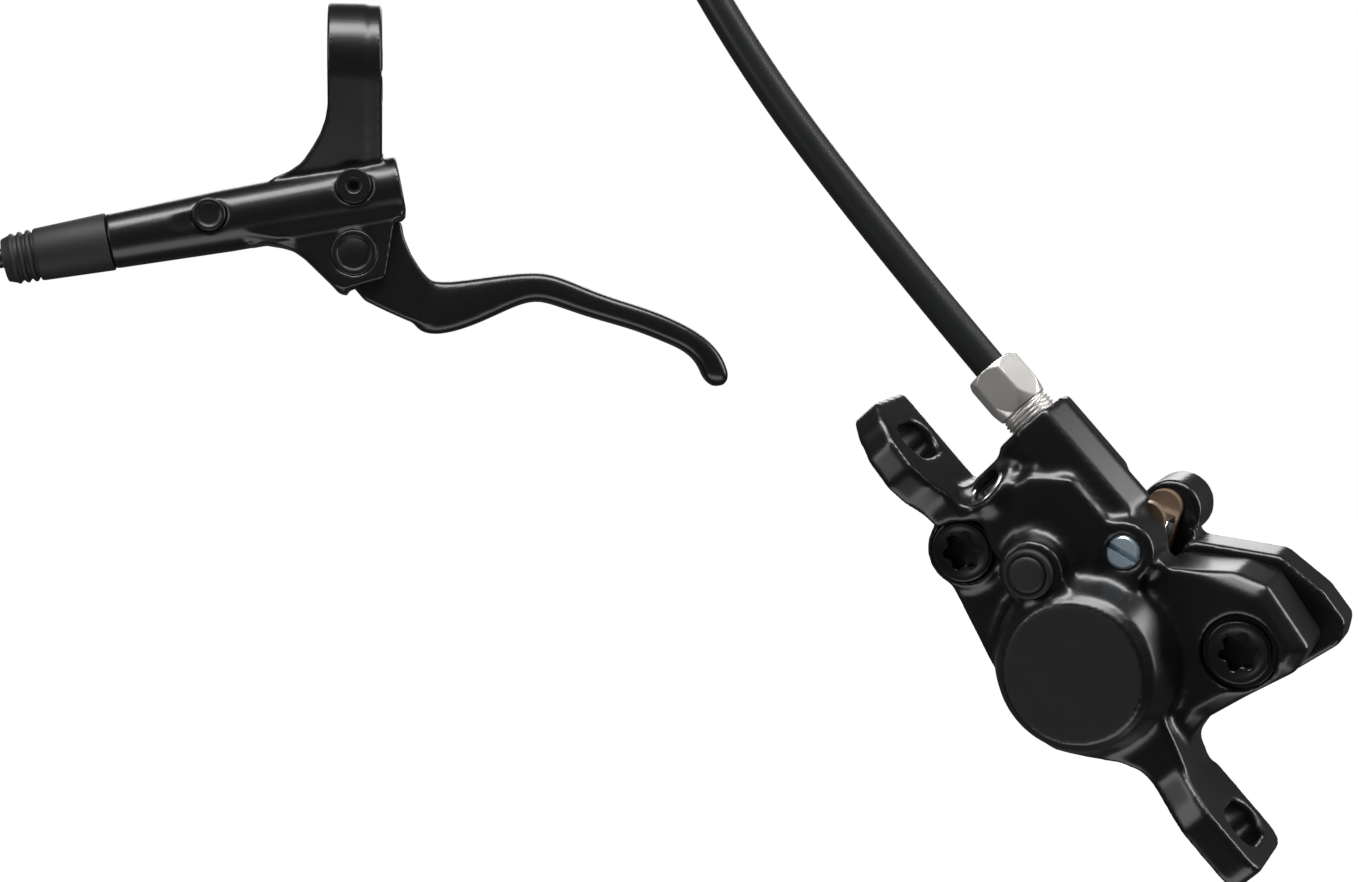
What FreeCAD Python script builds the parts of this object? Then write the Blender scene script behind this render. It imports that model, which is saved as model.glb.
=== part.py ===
import FreeCAD, Part
import math
import os
import Sketcher
from FreeCAD import Placement, Rotation, Vector

os.makedirs("parts", exist_ok=True)
doc = FreeCAD.newDocument("disc_brake")
sheet = doc.addObject("Spreadsheet::Sheet", "sizes")

# A hydraulic disc brake: a handlebar lever with its master cylinder, the hose,
# and the caliper at the hose's far end. Millimetres and degrees. The origin is
# the centre of the handlebar clamp, +X runs along the bar, +Z is up and the
# rider's fingers are on the -Y side.

# Driving sizes
SIZES = {
    # handlebar clamp
    "bar_r": 11.1, "clamp_r": 15.4, "clamp_half": 6.8, "flare_half": 5.0,
    "crease_x": 2.8, "crease_drop": 1.7, "column_y": 14.76, "column_z": -4.4, "foot_y": 6.8,
    "apron_half": 7.1, "apron_drop": 7.8, "apron_start": -26.0,
    "lug_reach": 22.5, "lug_drop": 7.5, "slit": 2.0, "clamp_bolt_y": 18.2,
    "clamp_screw_r": 2.5, "clamp_head_r": 4.25, "clamp_seat": 6.0, "clamp_head_len": 5.0,
    # master cylinder tube, measured along its axis from the foot of the lever arm
    "tube_rise": 10.9, "foot_x": -3.0, "foot_z": -35.0, "lever_arm": 14.3,
    "tube_mouth": 15.1, "tube_waist": -30.0, "tube_tail": -59.8,
    "mouth_r": 8.45, "lip_r": 8.65, "lip_len": 1.0, "waist_r": 8.0, "tail_r": 7.0,
    "cylinder_r": 5.5, "cylinder_head": -44.0, "cylinder_mouth": -9.0, "well_r": 6.6,
    "clip_at": -12.0, "clip_len": 1.0, "clip_groove_r": 6.1,
    "feed_r": 1.0,
    # bracket and pivot
    "plate_half": 6.4, "web_half": 5.5, "fork_half": 4.3, "pin_r": 3.0,
    "pin_head_r": 5.8, "pin_head_len": 0.9, "cap_ring_r": 3.9, "spot_depth": 0.8,
    # lever blade
    "root_half": 3.9, "nose_r": 3.0, "bush_r": 4.0, "bush_flange_r": 5.6, "bush_flange": 0.3,
    # master piston and its rod
    "piston_play": 0.05, "piston_len": 19.0, "piston_at": -31.2, "button_r": 4.2,
    "button_len": 1.6, "rod_r": 2.0, "rod_gap": 0.05, "cup_len": 2.2, "waist_piston_r": 3.8,
    "spring_r": 4.2, "spring_wire": 0.45, "spring_turns": 5.0,
    # screws in the tube's front
    "bleed_x": -0.3, "bleed_z": -32.2, "bleed_r": 4.55, "bleed_spot_r": 4.9, "bleed_thread_r": 2.5,
    "bleed_face": 7.0, "bleed_tip": 5.2,
    "plug_x": -36.5, "plug_z": -39.8, "plug_r": 4.2, "plug_seat_r": 5.0, "plug_face": 7.5,
    "plug_seat": 6.0, "scoop_x": -43.1, "scoop_z": -40.8, "scoop_r": 14.0, "scoop_depth": 1.1,
    # hose and its fittings
    "hose_r": 2.5, "nut_thread_r": 4.0, "thread_play": 0.05, "nut_flats": 8.0, "nut_bore_r": 2.6,
    "olive_r": 3.6, "olive_len": 2.9, "insert_stem_r": 1.0, "insert_stem": 7.0,
    "insert_flange_r": 2.4, "insert_flange": 0.5, "hose_seat": 12.0, "hose_first_run": 30.0,
    "hose_last_run": 38.0,
    "boot_tail": -86.4, "boot_r": 7.35, "boot_neck_r": 6.6, "boot_end_r": 6.0, "boot_play": 0.35,
    # caliper, measured from the piston axis and the plane where the halves meet
    "caliper_x": 120.2, "caliper_y": -274.5, "caliper_z": -127.5,
    "caliper_yaw": -15.86, "caliper_stand": 85.6, "caliper_fall": -49.66, "caliper_tilt": 19.0,
    "cap_top": 24.0, "cap_r": 10.75, "cap_proud": 1.2, "shoulder": 16.5, "housing_r": 13.9,
    "cap_ring": 11.6,
    "plate_top": 14.0, "inner_back": 17.0, "inner_plate": 8.5,
    "piston_r": 10.5, "wheel_piston_play": 0.05, "outer_bore_end": 18.5, "inner_bore_end": 14.0,
    "chamber": 6.6, "chamber_half": 13.2, "chamber_top": 10.2, "tab_channel": 5.4,
    "rotor_gap": 1.5, "rotor_lean": 30.0, "rotor_pocket_r": 81.0, "rotor_centre": 72.7,
    "bolt_r": 3.0, "bolt_head_r": 4.7, "bolt_head": 3.6, "bolt_boss_r": 5.8,
    "left_bolt_x": -24.4, "left_bolt_y": -3.6, "left_seat": 12.6,
    "right_bolt_x": 12.7, "right_bolt_y": 18.0, "right_seat": 10.2,
    "nipple_x": -15.1, "nipple_y": 4.6, "nipple_boss_r": 4.8, "nipple_top": 22.6,
    "nipple_r": 2.5, "bleed_cap_r": 3.7,
    "axle_x": -8.9, "axle_y": 15.6, "axle_boss_r": 4.6, "axle_top": 17.0, "axle_r": 2.0,
    "axle_head_r": 2.55, "lobe_x": -9.6, "lobe_y": 18.3, "lobe_r": 4.8,
    "port_y": 16.5, "port_z": 10.0, "port_face": -32.5, "port_boss_len": 20.0,
    "nut_collar": 2.5, "nut_len": 7.5,
    "slot_left": -41.65, "mount_pitch": 74.0, "slot_z": 12.0, "slot_half": 3.2,
    "slot_len": 11.0, "tab_face": 1.5, "tab_seat": -3.7, "tab_far": 3.5, "tab_near": 21.8,
    "tab_end": 6.2, "tab_neck": 8.2, "web_low": 4.0, "web_top": 18.0, "block_top": 17.6,
    "arm_bevel": 2.2, "tab_corner_r": 3.0,
    "gallery_x": -29.4, "gallery_y": 5.6, "gallery_z": 15.0, "gallery_lean": 27.0,
    "gallery_bore_r": 2.7, "gallery_boss_r": 4.6, "gallery_len": 9.0, "plug_recess": 0.8,
    "joint_x": -21.5, "joint_y": 5.5, "joint_seal_r": 2.6, "joint_seal_bore_r": 1.4,
    "joint_seal_depth": 0.8, "passage_r": 0.9,
    "seal_out": 1.0, "seal_width": 2.2, "outer_seal_at": 9.4, "inner_seal_at": 8.4,
    # pads
    "pad_plate": 2.0, "pad_lining": 3.1, "pad_half": 12.4, "pad_low": -11.0, "pad_high": 9.4,
    "pad_tab_half": 2.8, "pad_tab_top": 21.1,
    "spring_leg": 3.7, "spring_sheet": 0.4, "spring_half": 2.6, "spring_low": 9.4,
    "spring_top": 21.2,
}


class Size:
    """A number of the sheet, carried with the expression that gives it."""

    def __init__(self, value, text):
        self.value = value
        self.text = text

    def __add__(self, other):
        return Size(self.value + number(other), f"({self.text} + {words(other)})")

    def __radd__(self, other):
        return Size(number(other) + self.value, f"({words(other)} + {self.text})")

    def __sub__(self, other):
        return Size(self.value - number(other), f"({self.text} - {words(other)})")

    def __rsub__(self, other):
        return Size(number(other) - self.value, f"({words(other)} - {self.text})")

    def __mul__(self, other):
        return Size(self.value * number(other), f"({self.text} * {words(other)})")

    __rmul__ = __mul__

    def __truediv__(self, other):
        return Size(self.value / number(other), f"({self.text} / {words(other)})")

    def __neg__(self):
        return Size(-self.value, f"(0 - {self.text})")


def number(value):
    return value.value if isinstance(value, Size) else float(value)


def words(value):
    return value.text if isinstance(value, Size) else repr(float(value))


class Sizes:
    """The sheet's rows by name, such as S.tube_mouth."""

    def __init__(self, rows):
        for row, (name, value) in enumerate(rows.items(), start=1):
            sheet.set(f"A{row}", name)
            sheet.set(f"B{row}", str(value))
            sheet.setAlias(f"B{row}", name)
            setattr(self, name, Size(float(value), f"sizes.{name}"))
        doc.recompute()


S = Sizes(SIZES)


# Ways of drawing and cutting that every sub-part shares

def body(label, placement=None):
    piece = doc.addObject("PartDesign::Body", label)
    piece.Label = label
    if placement is not None:
        piece.Placement = placement
    return piece


def bind(feature, path, value):
    if isinstance(value, Size):
        feature.setExpression(path, value.text)


def seat(feature, piece, role, x, y, level, turn):
    """Lay a feature on one of its body's own planes, moved and turned in it."""
    base = [item for item in piece.Origin.OriginFeatures if item.Role == role][0]
    feature.AttachmentSupport = [(base, "")]
    feature.MapMode = "FlatFace"
    spot = Vector(number(x), number(y), number(level))
    feature.AttachmentOffset = Placement(spot, Rotation(Vector(0, 0, 1), number(turn)))
    for letter, value in (("x", x), ("y", y), ("z", level)):
        bind(feature, f"AttachmentOffset.Base.{letter}", value)
    bind(feature, "AttachmentOffset.Rotation.Angle", turn)


def outline(piece, role, points, level=0, x=0, y=0, turn=0):
    """A closed sketch of straight edges, each corner held by two sizes."""
    sketch = piece.newObject("Sketcher::SketchObject", "outline")
    seat(sketch, piece, role, x, y, level, turn)
    corners = [Vector(number(a), number(b), 0) for a, b in points]
    for start, end in zip(corners, corners[1:] + corners[:1]):
        sketch.addGeometry(Part.LineSegment(start, end), False)
    for edge in range(len(corners)):
        following = (edge + 1) % len(corners)
        sketch.addConstraint(Sketcher.Constraint("Coincident", edge, 2, following, 1))
    for edge, corner in enumerate(points):
        for kind, value in zip(("DistanceX", "DistanceY"), corner):
            row = sketch.addConstraint(Sketcher.Constraint(kind, -1, 1, edge, 1, number(value)))
            bind(sketch, f"Constraints[{row}]", value)
    return sketch


def pad(piece, sketch, length):
    feature = piece.newObject("PartDesign::Pad", "pad")
    feature.Profile = sketch
    feature.Length = number(length)
    bind(feature, "Length", length)
    return feature


def pocket(piece, sketch, depth):
    """Cuts from the sketch down against its plane's normal."""
    feature = piece.newObject("PartDesign::Pocket", "pocket")
    feature.Profile = sketch
    feature.Length = number(depth)
    bind(feature, "Length", depth)
    return feature


def revolve(piece, sketch, axis="V_Axis", cut=False):
    kind = "PartDesign::Groove" if cut else "PartDesign::Revolution"
    feature = piece.newObject(kind, "turned")
    feature.Profile = sketch
    feature.ReferenceAxis = (sketch, [axis])
    feature.Angle = 360
    return feature


def cylinder(piece, role, x, y, level, radius, height, cut=False, turn=0):
    kind = "PartDesign::SubtractiveCylinder" if cut else "PartDesign::AdditiveCylinder"
    feature = piece.newObject(kind, "round")
    seat(feature, piece, role, x, y, level, turn)
    feature.Radius = number(radius)
    feature.Height = number(height)
    bind(feature, "Radius", radius)
    bind(feature, "Height", height)
    return feature


def cone(piece, role, x, y, level, low_radius, high_radius, height, cut=False):
    kind = "PartDesign::SubtractiveCone" if cut else "PartDesign::AdditiveCone"
    feature = piece.newObject(kind, "taper")
    seat(feature, piece, role, x, y, level, 0)
    feature.Radius1 = number(low_radius)
    feature.Radius2 = number(high_radius)
    feature.Height = number(height)
    bind(feature, "Radius1", low_radius)
    bind(feature, "Radius2", high_radius)
    bind(feature, "Height", height)
    return feature


def dress(piece, kind, path, size, wanted):
    """Rounds or bevels the edges of the body so far that pass the test."""
    doc.recompute()
    tip = piece.Tip
    names = []
    for index, edge in enumerate(tip.Shape.Edges, start=1):
        middle = edge.valueAt((edge.FirstParameter + edge.LastParameter) / 2)
        if wanted(edge, middle):
            names.append(f"Edge{index}")
    feature = piece.newObject("PartDesign::" + kind, kind.lower())
    feature.Base = (tip, names)
    setattr(feature, path, number(size))
    bind(feature, path, size)
    doc.recompute()
    return feature


def fillet(piece, radius, wanted):
    return dress(piece, "Fillet", "Radius", radius, wanted)


def bevel(piece, size, wanted):
    return dress(piece, "Chamfer", "Size", size, wanted)


def turned(label, profile, placement):
    """A piece turned about its own Z: each corner is a radius and a height."""
    piece = body(label, placement)
    revolve(piece, outline(piece, "XZ_Plane", profile))
    return piece


def regular(corner_count, flats, phase=0.0):
    """Corners of a regular polygon of the given width over its flats."""
    corners = []
    for step in range(corner_count):
        angle = math.radians(phase + 360.0 * step / corner_count)
        reach = 0.5 / math.cos(math.pi / corner_count)
        corners.append((flats * (reach * math.cos(angle)), flats * (reach * math.sin(angle))))
    return corners


# Frames that the sub-parts share: the tube's axis, a screw that faces the
# rider, and the caliper
rise = math.radians(number(S.tube_rise))
TUBE_RUN = Vector(math.cos(rise), 0, math.sin(rise))
TUBE_UP = Vector(-math.sin(rise), 0, math.cos(rise))
FOOT = Vector(number(S.foot_x), 0, number(S.foot_z))
TUBE = Placement(FOOT, Rotation(TUBE_UP, Vector(0, -1, 0), TUBE_RUN, "ZXY"))
PIVOT = FOOT - TUBE_UP * number(S.lever_arm)
CALIPER = Placement(
    Vector(number(S.caliper_x), number(S.caliper_y), number(S.caliper_z)),
    Rotation(Vector(0, 0, 1), number(S.caliper_yaw))
    * Rotation(Vector(1, 0, 0), number(S.caliper_stand))
    * Rotation(Vector(0, 0, 1), number(S.caliper_fall))
    * Rotation(Vector(1, 0, 0), number(S.caliper_tilt)))


GALLERY = Placement(
    Vector(number(S.gallery_x), number(S.gallery_y), number(S.gallery_z)),
    Rotation(Vector(0, 1, 0), number(S.gallery_lean) - 90))


def facing(x, z):
    """A frame at the lever's middle plane whose Z points at the rider."""
    return Placement(Vector(number(x), 0, number(z)), Rotation(Vector(1, 0, 0), 90))


def on_caliper(x, y, z, rotation=None):
    spot = Vector(number(x), number(y), number(z))
    return CALIPER.multiply(Placement(spot, rotation or Rotation()))


def lever_housing():
    piece = body("lever_housing")
    tube = [(S.tube_tail, 0), (S.tube_tail, S.tail_r), (S.tube_waist, S.waist_r),
            (S.tube_mouth - S.lip_len, S.mouth_r), (S.tube_mouth - S.lip_len, S.lip_r),
            (S.tube_mouth, S.lip_r), (S.tube_mouth, 0)]
    revolve(piece, outline(piece, "XZ_Plane", tube, 0, S.foot_x, S.foot_z, S.tube_rise), "H_Axis")
    # the tube's lower front overhangs the bracket
    apron = [(S.apron_start, -S.apron_drop), (S.tube_mouth - S.lip_len, -S.apron_drop),
             (S.tube_mouth - S.lip_len, 0), (S.apron_start, 0)]
    pad(piece, outline(piece, "XZ_Plane", apron, -S.apron_half, S.foot_x, S.foot_z, S.tube_rise),
        2 * S.apron_half)
    # clamp band and the column that falls from it to the tube, creased along
    # the right, with a flare that runs out along the tube's top to the left
    flare = [(-S.clamp_half, -12.0), (-7.4, -15.5), (-8.8, -19.1), (-10.8, -22.4), (-13.4, -26.0),
             (-16.6, -28.2), (-21.0, -30.0), (-19.0, -37.0), (S.clamp_half, -32.5),
             (S.clamp_half, -12.0)]
    pad(piece, outline(piece, "XZ_Plane", flare, -S.flare_half), 2 * S.flare_half)
    low = -31.0
    column = [(-S.column_y, S.column_z), (-S.foot_y, low), (S.foot_y, low),
              (S.column_y, S.column_z)]
    narrow = [(S.crease_drop - S.column_y, S.column_z), (S.crease_drop - S.foot_y, low),
              (S.foot_y - S.crease_drop, low), (S.column_y - S.crease_drop, S.column_z)]
    pad(piece, outline(piece, "YZ_Plane", column, -S.clamp_half), S.clamp_half + S.crease_x)
    slope = piece.newObject("PartDesign::AdditiveLoft", "slope")
    slope.Profile = outline(piece, "YZ_Plane", column, S.crease_x)
    slope.Sections = [outline(piece, "YZ_Plane", narrow, S.clamp_half)]
    slope.Ruled = True
    cylinder(piece, "YZ_Plane", 0, 0, -S.clamp_half, S.clamp_r, S.clamp_half + S.crease_x)
    cone(piece, "YZ_Plane", 0, 0, S.crease_x, S.clamp_r, S.clamp_r - S.crease_drop,
         S.clamp_half - S.crease_x)
    plate = [(10.0, -41.1), (7.65, -55.4), (-2.55, -58.4), (-5.35, -57.6), (-9.7, -52.8),
             (-12.5, -49.2), (-15.0, -46.7), (-18.6, -45.4), (-18.6, -40.0), (10.6, -36.0)]
    pad(piece, outline(piece, "XZ_Plane", plate, -S.plate_half), 2 * S.plate_half)
    web = [(-2.0, -59.7), (-4.3, -58.9), (-6.1, -56.9), (-13.0, -50.2), (-15.8, -48.2),
           (-18.6, -47.4), (-22.0, -46.9), (-22.0, -40.0), (-2.0, -40.0)]
    pad(piece, outline(piece, "XZ_Plane", web, -S.web_half), 2 * S.web_half)
    lug = [(8.0, -S.lug_drop), (S.lug_reach, -S.lug_drop), (S.lug_reach, S.lug_drop),
           (8.0, S.lug_drop)]
    pad(piece, outline(piece, "YZ_Plane", lug, -S.clamp_half), 2 * S.clamp_half)
    # bar bore, slit and clamp screw hole
    cylinder(piece, "YZ_Plane", 0, 0, -2 * S.clamp_half, S.bar_r, 4 * S.clamp_half, cut=True)
    slit = [(8.0, -S.slit / 2), (S.lug_reach + 1, -S.slit / 2),
            (S.lug_reach + 1, S.slit / 2), (8.0, S.slit / 2)]
    pocket(piece, outline(piece, "YZ_Plane", slit, 2 * S.clamp_half), 4 * S.clamp_half)
    cylinder(piece, "XY_Plane", 0, S.clamp_bolt_y, -S.lug_drop, S.clamp_screw_r,
             2 * S.lug_drop, cut=True)
    cylinder(piece, "XY_Plane", 0, S.clamp_bolt_y, -2 * S.lug_drop, S.clamp_head_r + 0.2,
             2 * S.lug_drop - S.clamp_seat, cut=True)
    # cylinder bore with the hose port behind it and the lever's well before it
    seat_end = S.tube_tail + S.hose_seat
    bore = [(S.tube_tail, 0), (S.tube_tail, S.nut_thread_r + S.thread_play),
            (seat_end - 3.4, S.nut_thread_r + S.thread_play), (seat_end - 3.4, S.olive_r + 0.05),
            (seat_end, S.olive_r + 0.05), (seat_end, S.feed_r), (S.cylinder_head, S.feed_r),
            (S.cylinder_head, S.cylinder_r), (S.clip_at, S.cylinder_r),
            (S.clip_at, S.clip_groove_r), (S.clip_at + S.clip_len, S.clip_groove_r),
            (S.clip_at + S.clip_len, S.cylinder_r), (S.cylinder_mouth, S.cylinder_r),
            (S.cylinder_mouth, S.well_r), (S.tube_mouth, S.well_r), (S.tube_mouth, 0)]
    revolve(piece, outline(piece, "XZ_Plane", bore, 0, S.foot_x, S.foot_z, S.tube_rise),
            "H_Axis", cut=True)
    fork = [(-11.6, -36.7), (-12.3, -43.5), (-11.3, -47.6), (-4.6, -55.2), (-1.0, -58.0),
            (0.5, -62.0), (16.0, -62.0), (16.0, -31.3)]
    pocket(piece, outline(piece, "XZ_Plane", fork, S.fork_half), 2 * S.fork_half)
    # pivot holes and the round seats in the front
    x, z = PIVOT.x, PIVOT.z
    cylinder(piece, "XZ_Plane", x, z, -2 * S.plate_half, S.pin_r, 4 * S.plate_half, cut=True)
    cylinder(piece, "XZ_Plane", x, z, S.plate_half - S.spot_depth, S.pin_head_r + 0.1, 3, cut=True)
    cylinder(piece, "XZ_Plane", S.bleed_x, S.bleed_z, 0, S.bleed_thread_r, 12, cut=True)
    cylinder(piece, "XZ_Plane", S.bleed_x, S.bleed_z, S.bleed_face, S.bleed_spot_r, 6, cut=True)
    cylinder(piece, "XZ_Plane", S.plug_x, S.plug_z, S.plug_seat, S.plug_r, 6, cut=True)
    cylinder(piece, "XZ_Plane", S.plug_x, S.plug_z, S.plug_face, S.plug_seat_r, 6, cut=True)
    scoop = piece.newObject("PartDesign::SubtractiveSphere", "scoop")
    seat(scoop, piece, "XZ_Plane", S.scoop_x, S.scoop_z, S.waist_r + S.scoop_r - S.scoop_depth, 0)
    scoop.Radius = number(S.scoop_r)
    bind(scoop, "Radius", S.scoop_r)
    doc.recompute()
    return piece


# The blade from its root to the tip: middle point, heading, depth and width
BLADE = [
    (15.6, -60.6, -6.0, 12.4, 7.0), (28.6, -61.4, 6.0, 12.0, 9.0), (37.0, -58.9, 14.0, 9.4, 10.4),
    (43.7, -57.4, 2.0, 7.7, 11.0), (49.6, -57.6, -13.0, 7.3, 11.2), (56.2, -59.8, -19.0, 7.0, 11.2),
    (66.3, -63.2, -19.0, 6.4, 11.0), (77.8, -67.0, -20.0, 6.3, 10.6), (85.6, -70.6, -34.0, 6.0, 10.2),
    (90.2, -74.4, -58.0, 6.2, 9.8), (92.4, -78.2, -76.0, 6.6, 9.2), (93.6, -82.6, -86.0, 6.0, 8.0),
]


def lever_blade():
    piece = body("lever_blade")
    sections = []
    for x, z, heading, depth, width in BLADE:
        sketch = piece.newObject("Sketcher::SketchObject", "section")
        base = [item for item in piece.Origin.OriginFeatures if item.Role == "YZ_Plane"][0]
        sketch.AttachmentSupport = [(base, "")]
        sketch.MapMode = "FlatFace"
        sketch.AttachmentOffset = Placement(Vector(0, z, x), Rotation(Vector(1, 0, 0), -heading))
        soft_section(sketch, width / 2, depth / 2)
        sections.append(sketch)
    loft = piece.newObject("PartDesign::AdditiveLoft", "blade")
    loft.Profile = sections[0]
    loft.Sections = sections[1:]
    doc.recompute()
    root = [(11.7, -40.6), (12.4, -44.7), (14.3, -49.2), (16.9, -53.3), (19.3, -55.8),
            (18.9, -67.6), (13.5, -66.0), (7.6, -63.4), (2.3, -60.8), (-1.6, -56.2),
            (-5.2, -52.8), (-7.2, -49.4), (-6.4, -45.0), (-4.5, -41.0), (-5.85, -35.6),
            (0.0, -34.4), (5.0, -41.0)]
    pad(piece, outline(piece, "XZ_Plane", root, -S.root_half), 2 * S.root_half)
    cylinder(piece, "XZ_Plane", S.foot_x, S.foot_z, -S.root_half, S.nose_r, 2 * S.root_half)
    cylinder(piece, "XZ_Plane", PIVOT.x, PIVOT.z, -8, S.bush_r, 16, cut=True)
    return piece


def soft_section(sketch, half_width, half_depth):
    """A closed smooth curve between an ellipse and a rectangle."""
    steps = ((1, 0), (1, 1), (0, 1), (-1, 1), (-1, 0), (-1, -1), (0, -1), (1, -1))
    poles = [Vector(x * half_width, y * half_depth, 0) for x, y in steps]
    curve = Part.BSplineCurve()
    curve.buildFromPoles(poles, True, 3)
    sketch.addGeometry(curve, False)


def lever_fittings():
    """Screws, pins and turned pieces of the lever's end."""
    bolt = body("clamp_bolt", Placement(Vector(0, number(S.clamp_bolt_y), 0), Rotation()))
    cylinder(bolt, "XY_Plane", 0, 0, -S.clamp_seat - S.clamp_head_len, S.clamp_head_r,
             S.clamp_head_len)
    cylinder(bolt, "XY_Plane", 0, 0, -S.clamp_seat, S.clamp_screw_r, S.clamp_seat + S.lug_drop)
    pocket(bolt, outline(bolt, "XY_Plane", regular(6, 4.0), -S.clamp_seat - 2.4), 4)

    pin = turned("pivot_pin", [
        (0, -S.plate_half), (S.pin_r, -S.plate_half), (S.pin_r, S.plate_half - S.spot_depth),
        (S.pin_head_r, S.plate_half - S.spot_depth),
        (S.pin_head_r, S.plate_half - S.spot_depth + S.pin_head_len),
        (S.cap_ring_r + 0.3, S.plate_half - S.spot_depth + S.pin_head_len),
        (S.cap_ring_r, S.plate_half - 0.3), (0, S.plate_half - 0.3)], facing(PIVOT.x, PIVOT.z))
    for side, label in ((1, "front_bush"), (-1, "back_bush")):
        turned(label, [
            (S.pin_r + 0.05, side * 0.4), (S.bush_r, side * 0.4), (S.bush_r, side * S.root_half),
            (S.bush_flange_r, side * S.root_half),
            (S.bush_flange_r, side * (S.root_half + S.bush_flange)),
            (S.pin_r + 0.05, side * (S.root_half + S.bush_flange))], facing(PIVOT.x, PIVOT.z))

    screw = turned("bleed_screw", [
        (0, S.bleed_tip), (S.bleed_thread_r, S.bleed_tip), (S.bleed_thread_r, S.bleed_face + 0.3),
        (S.bleed_r, S.bleed_face + 0.3), (S.bleed_r, S.bleed_face + 0.9),
        (S.bleed_r - 0.3, S.bleed_face + 1.2), (0, S.bleed_face + 1.2)],
        facing(S.bleed_x, S.bleed_z))
    pocket(screw, outline(screw, "XY_Plane", regular(6, 2.5), S.bleed_face + 2), 2.2)
    turned("bleed_screw_seal", [
        (S.bleed_thread_r, S.bleed_face), (S.bleed_r - 0.7, S.bleed_face),
        (S.bleed_r - 0.7, S.bleed_face + 0.3), (S.bleed_thread_r, S.bleed_face + 0.3)],
        facing(S.bleed_x, S.bleed_z))
    turned("side_plug", [
        (0, S.plug_seat), (S.plug_r, S.plug_seat), (S.plug_r, S.plug_face + 0.4),
        (S.plug_r - 0.5, S.plug_face + 0.8), (0, S.plug_face + 0.8)],
        facing(S.plug_x, S.plug_z))


def master_cylinder():
    """What slides in the tube's bore, from the hose end to the lever's nose."""
    head, end = S.piston_at, S.piston_at + S.piston_len
    slide_r = S.cylinder_r - S.piston_play
    cup = S.cup_len
    turned("master_piston", [
        (0, head), (2.6, head), (2.6, head + cup), (slide_r, head + cup), (slide_r, head + cup + 1.6),
        (S.waist_piston_r, head + cup + 2.2), (S.waist_piston_r, end - 2 * cup - 2.2),
        (slide_r, end - 2 * cup - 1.6), (slide_r, end - 2 * cup), (3.6, end - 2 * cup),
        (3.6, end - cup), (slide_r, end - cup), (slide_r, end),
        (S.rod_r + 0.1, end), (S.rod_r + 0.1, end - 3.4), (0, end - 3.4)], TUBE)
    turned("primary_cup", [
        (2.6, head), (slide_r - 0.5, head), (slide_r, head + 0.8), (slide_r, head + cup),
        (2.6, head + cup)], TUBE)
    turned("secondary_cup", [
        (3.6, end - 2 * cup), (slide_r, end - 2 * cup), (slide_r, end - cup), (3.6, end - cup)],
        TUBE)
    face = -S.nose_r - S.rod_gap
    turned("pushrod", [
        (0, end - 3.4), (S.rod_r, end - 3.4), (S.rod_r, face - S.button_len),
        (S.button_r, face - S.button_len), (S.button_r, face), (0, face)], TUBE)
    turned("piston_clip", [
        (3.6, S.clip_at + 0.05), (S.clip_groove_r - 0.1, S.clip_at + 0.05),
        (S.clip_groove_r - 0.1, S.clip_at + S.clip_len - 0.05),
        (3.6, S.clip_at + S.clip_len - 0.05)], TUBE)
    room = number(head - S.cylinder_head) - 2 * number(S.spring_wire)
    helix = Part.makeHelix(room / number(S.spring_turns), room, number(S.spring_r))
    wire_end = Part.Circle(Vector(number(S.spring_r), 0, 0), Vector(0, 1, 0),
                           number(S.spring_wire)).toShape()
    spring = doc.addObject("Part::Feature", "return_spring")
    spring.Shape = Part.Wire(helix).makePipeShell([Part.Wire(wire_end)], True, True)
    spring.Placement = TUBE.multiply(Placement(
        Vector(0, 0, number(S.cylinder_head + S.spring_wire)), Rotation()))


def hose_end(prefix, placement, nut_head):
    """Nut, olive and insert round the hose, seen along Z out of the port."""
    seat_z = -S.hose_seat
    nut = body(prefix + "_nut", placement)
    cylinder(nut, "XY_Plane", 0, 0, seat_z + 3.5, S.nut_thread_r, S.hose_seat - 3.5)
    corner_r = S.nut_flats * (0.5 / math.cos(math.pi / 6))
    pad(nut, outline(nut, "XY_Plane", regular(6, S.nut_flats, 30), nut_head[0]), nut_head[1])
    if number(nut_head[0]) > 0:
        cylinder(nut, "XY_Plane", 0, 0, 0, S.nut_thread_r, nut_head[0])
    corner_cut = 0.9
    top = nut_head[0] + nut_head[1]
    for level, low, high in ((nut_head[0], corner_r - corner_cut, corner_r),
                             (top - corner_cut, corner_r, corner_r - corner_cut)):
        ring = [(low, level), (corner_r + 1, level), (corner_r + 1, level + corner_cut),
                (high, level + corner_cut)]
        revolve(nut, outline(nut, "XZ_Plane", ring), cut=True)
    cylinder(nut, "XY_Plane", 0, 0, seat_z, S.nut_bore_r, 3 * S.hose_seat, cut=True)
    half = S.olive_len / 2
    middle = seat_z + 0.45 + half
    turned(prefix + "_olive", [
        (S.hose_r, middle - half), (S.hose_r + 0.3, middle - half), (S.olive_r, middle - 0.5),
        (S.olive_r, middle + 0.5), (S.hose_r + 0.3, middle + half), (S.hose_r, middle + half)],
        placement)
    turned(prefix + "_insert", [
        (0.5, seat_z + 0.05), (S.insert_flange_r, seat_z + 0.05),
        (S.insert_flange_r, seat_z + S.insert_flange), (S.insert_stem_r, seat_z + S.insert_flange),
        (S.insert_stem_r, seat_z + S.insert_stem), (0.5, seat_z + S.insert_stem)], placement)


LEVER_PORT = TUBE.multiply(Placement(Vector(0, 0, number(S.tube_tail)), Rotation(Vector(1, 0, 0), 180)))
CALIPER_PORT = on_caliper(S.port_face, S.port_y, S.port_z, Rotation(Vector(0, 1, 0), -90))


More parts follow.
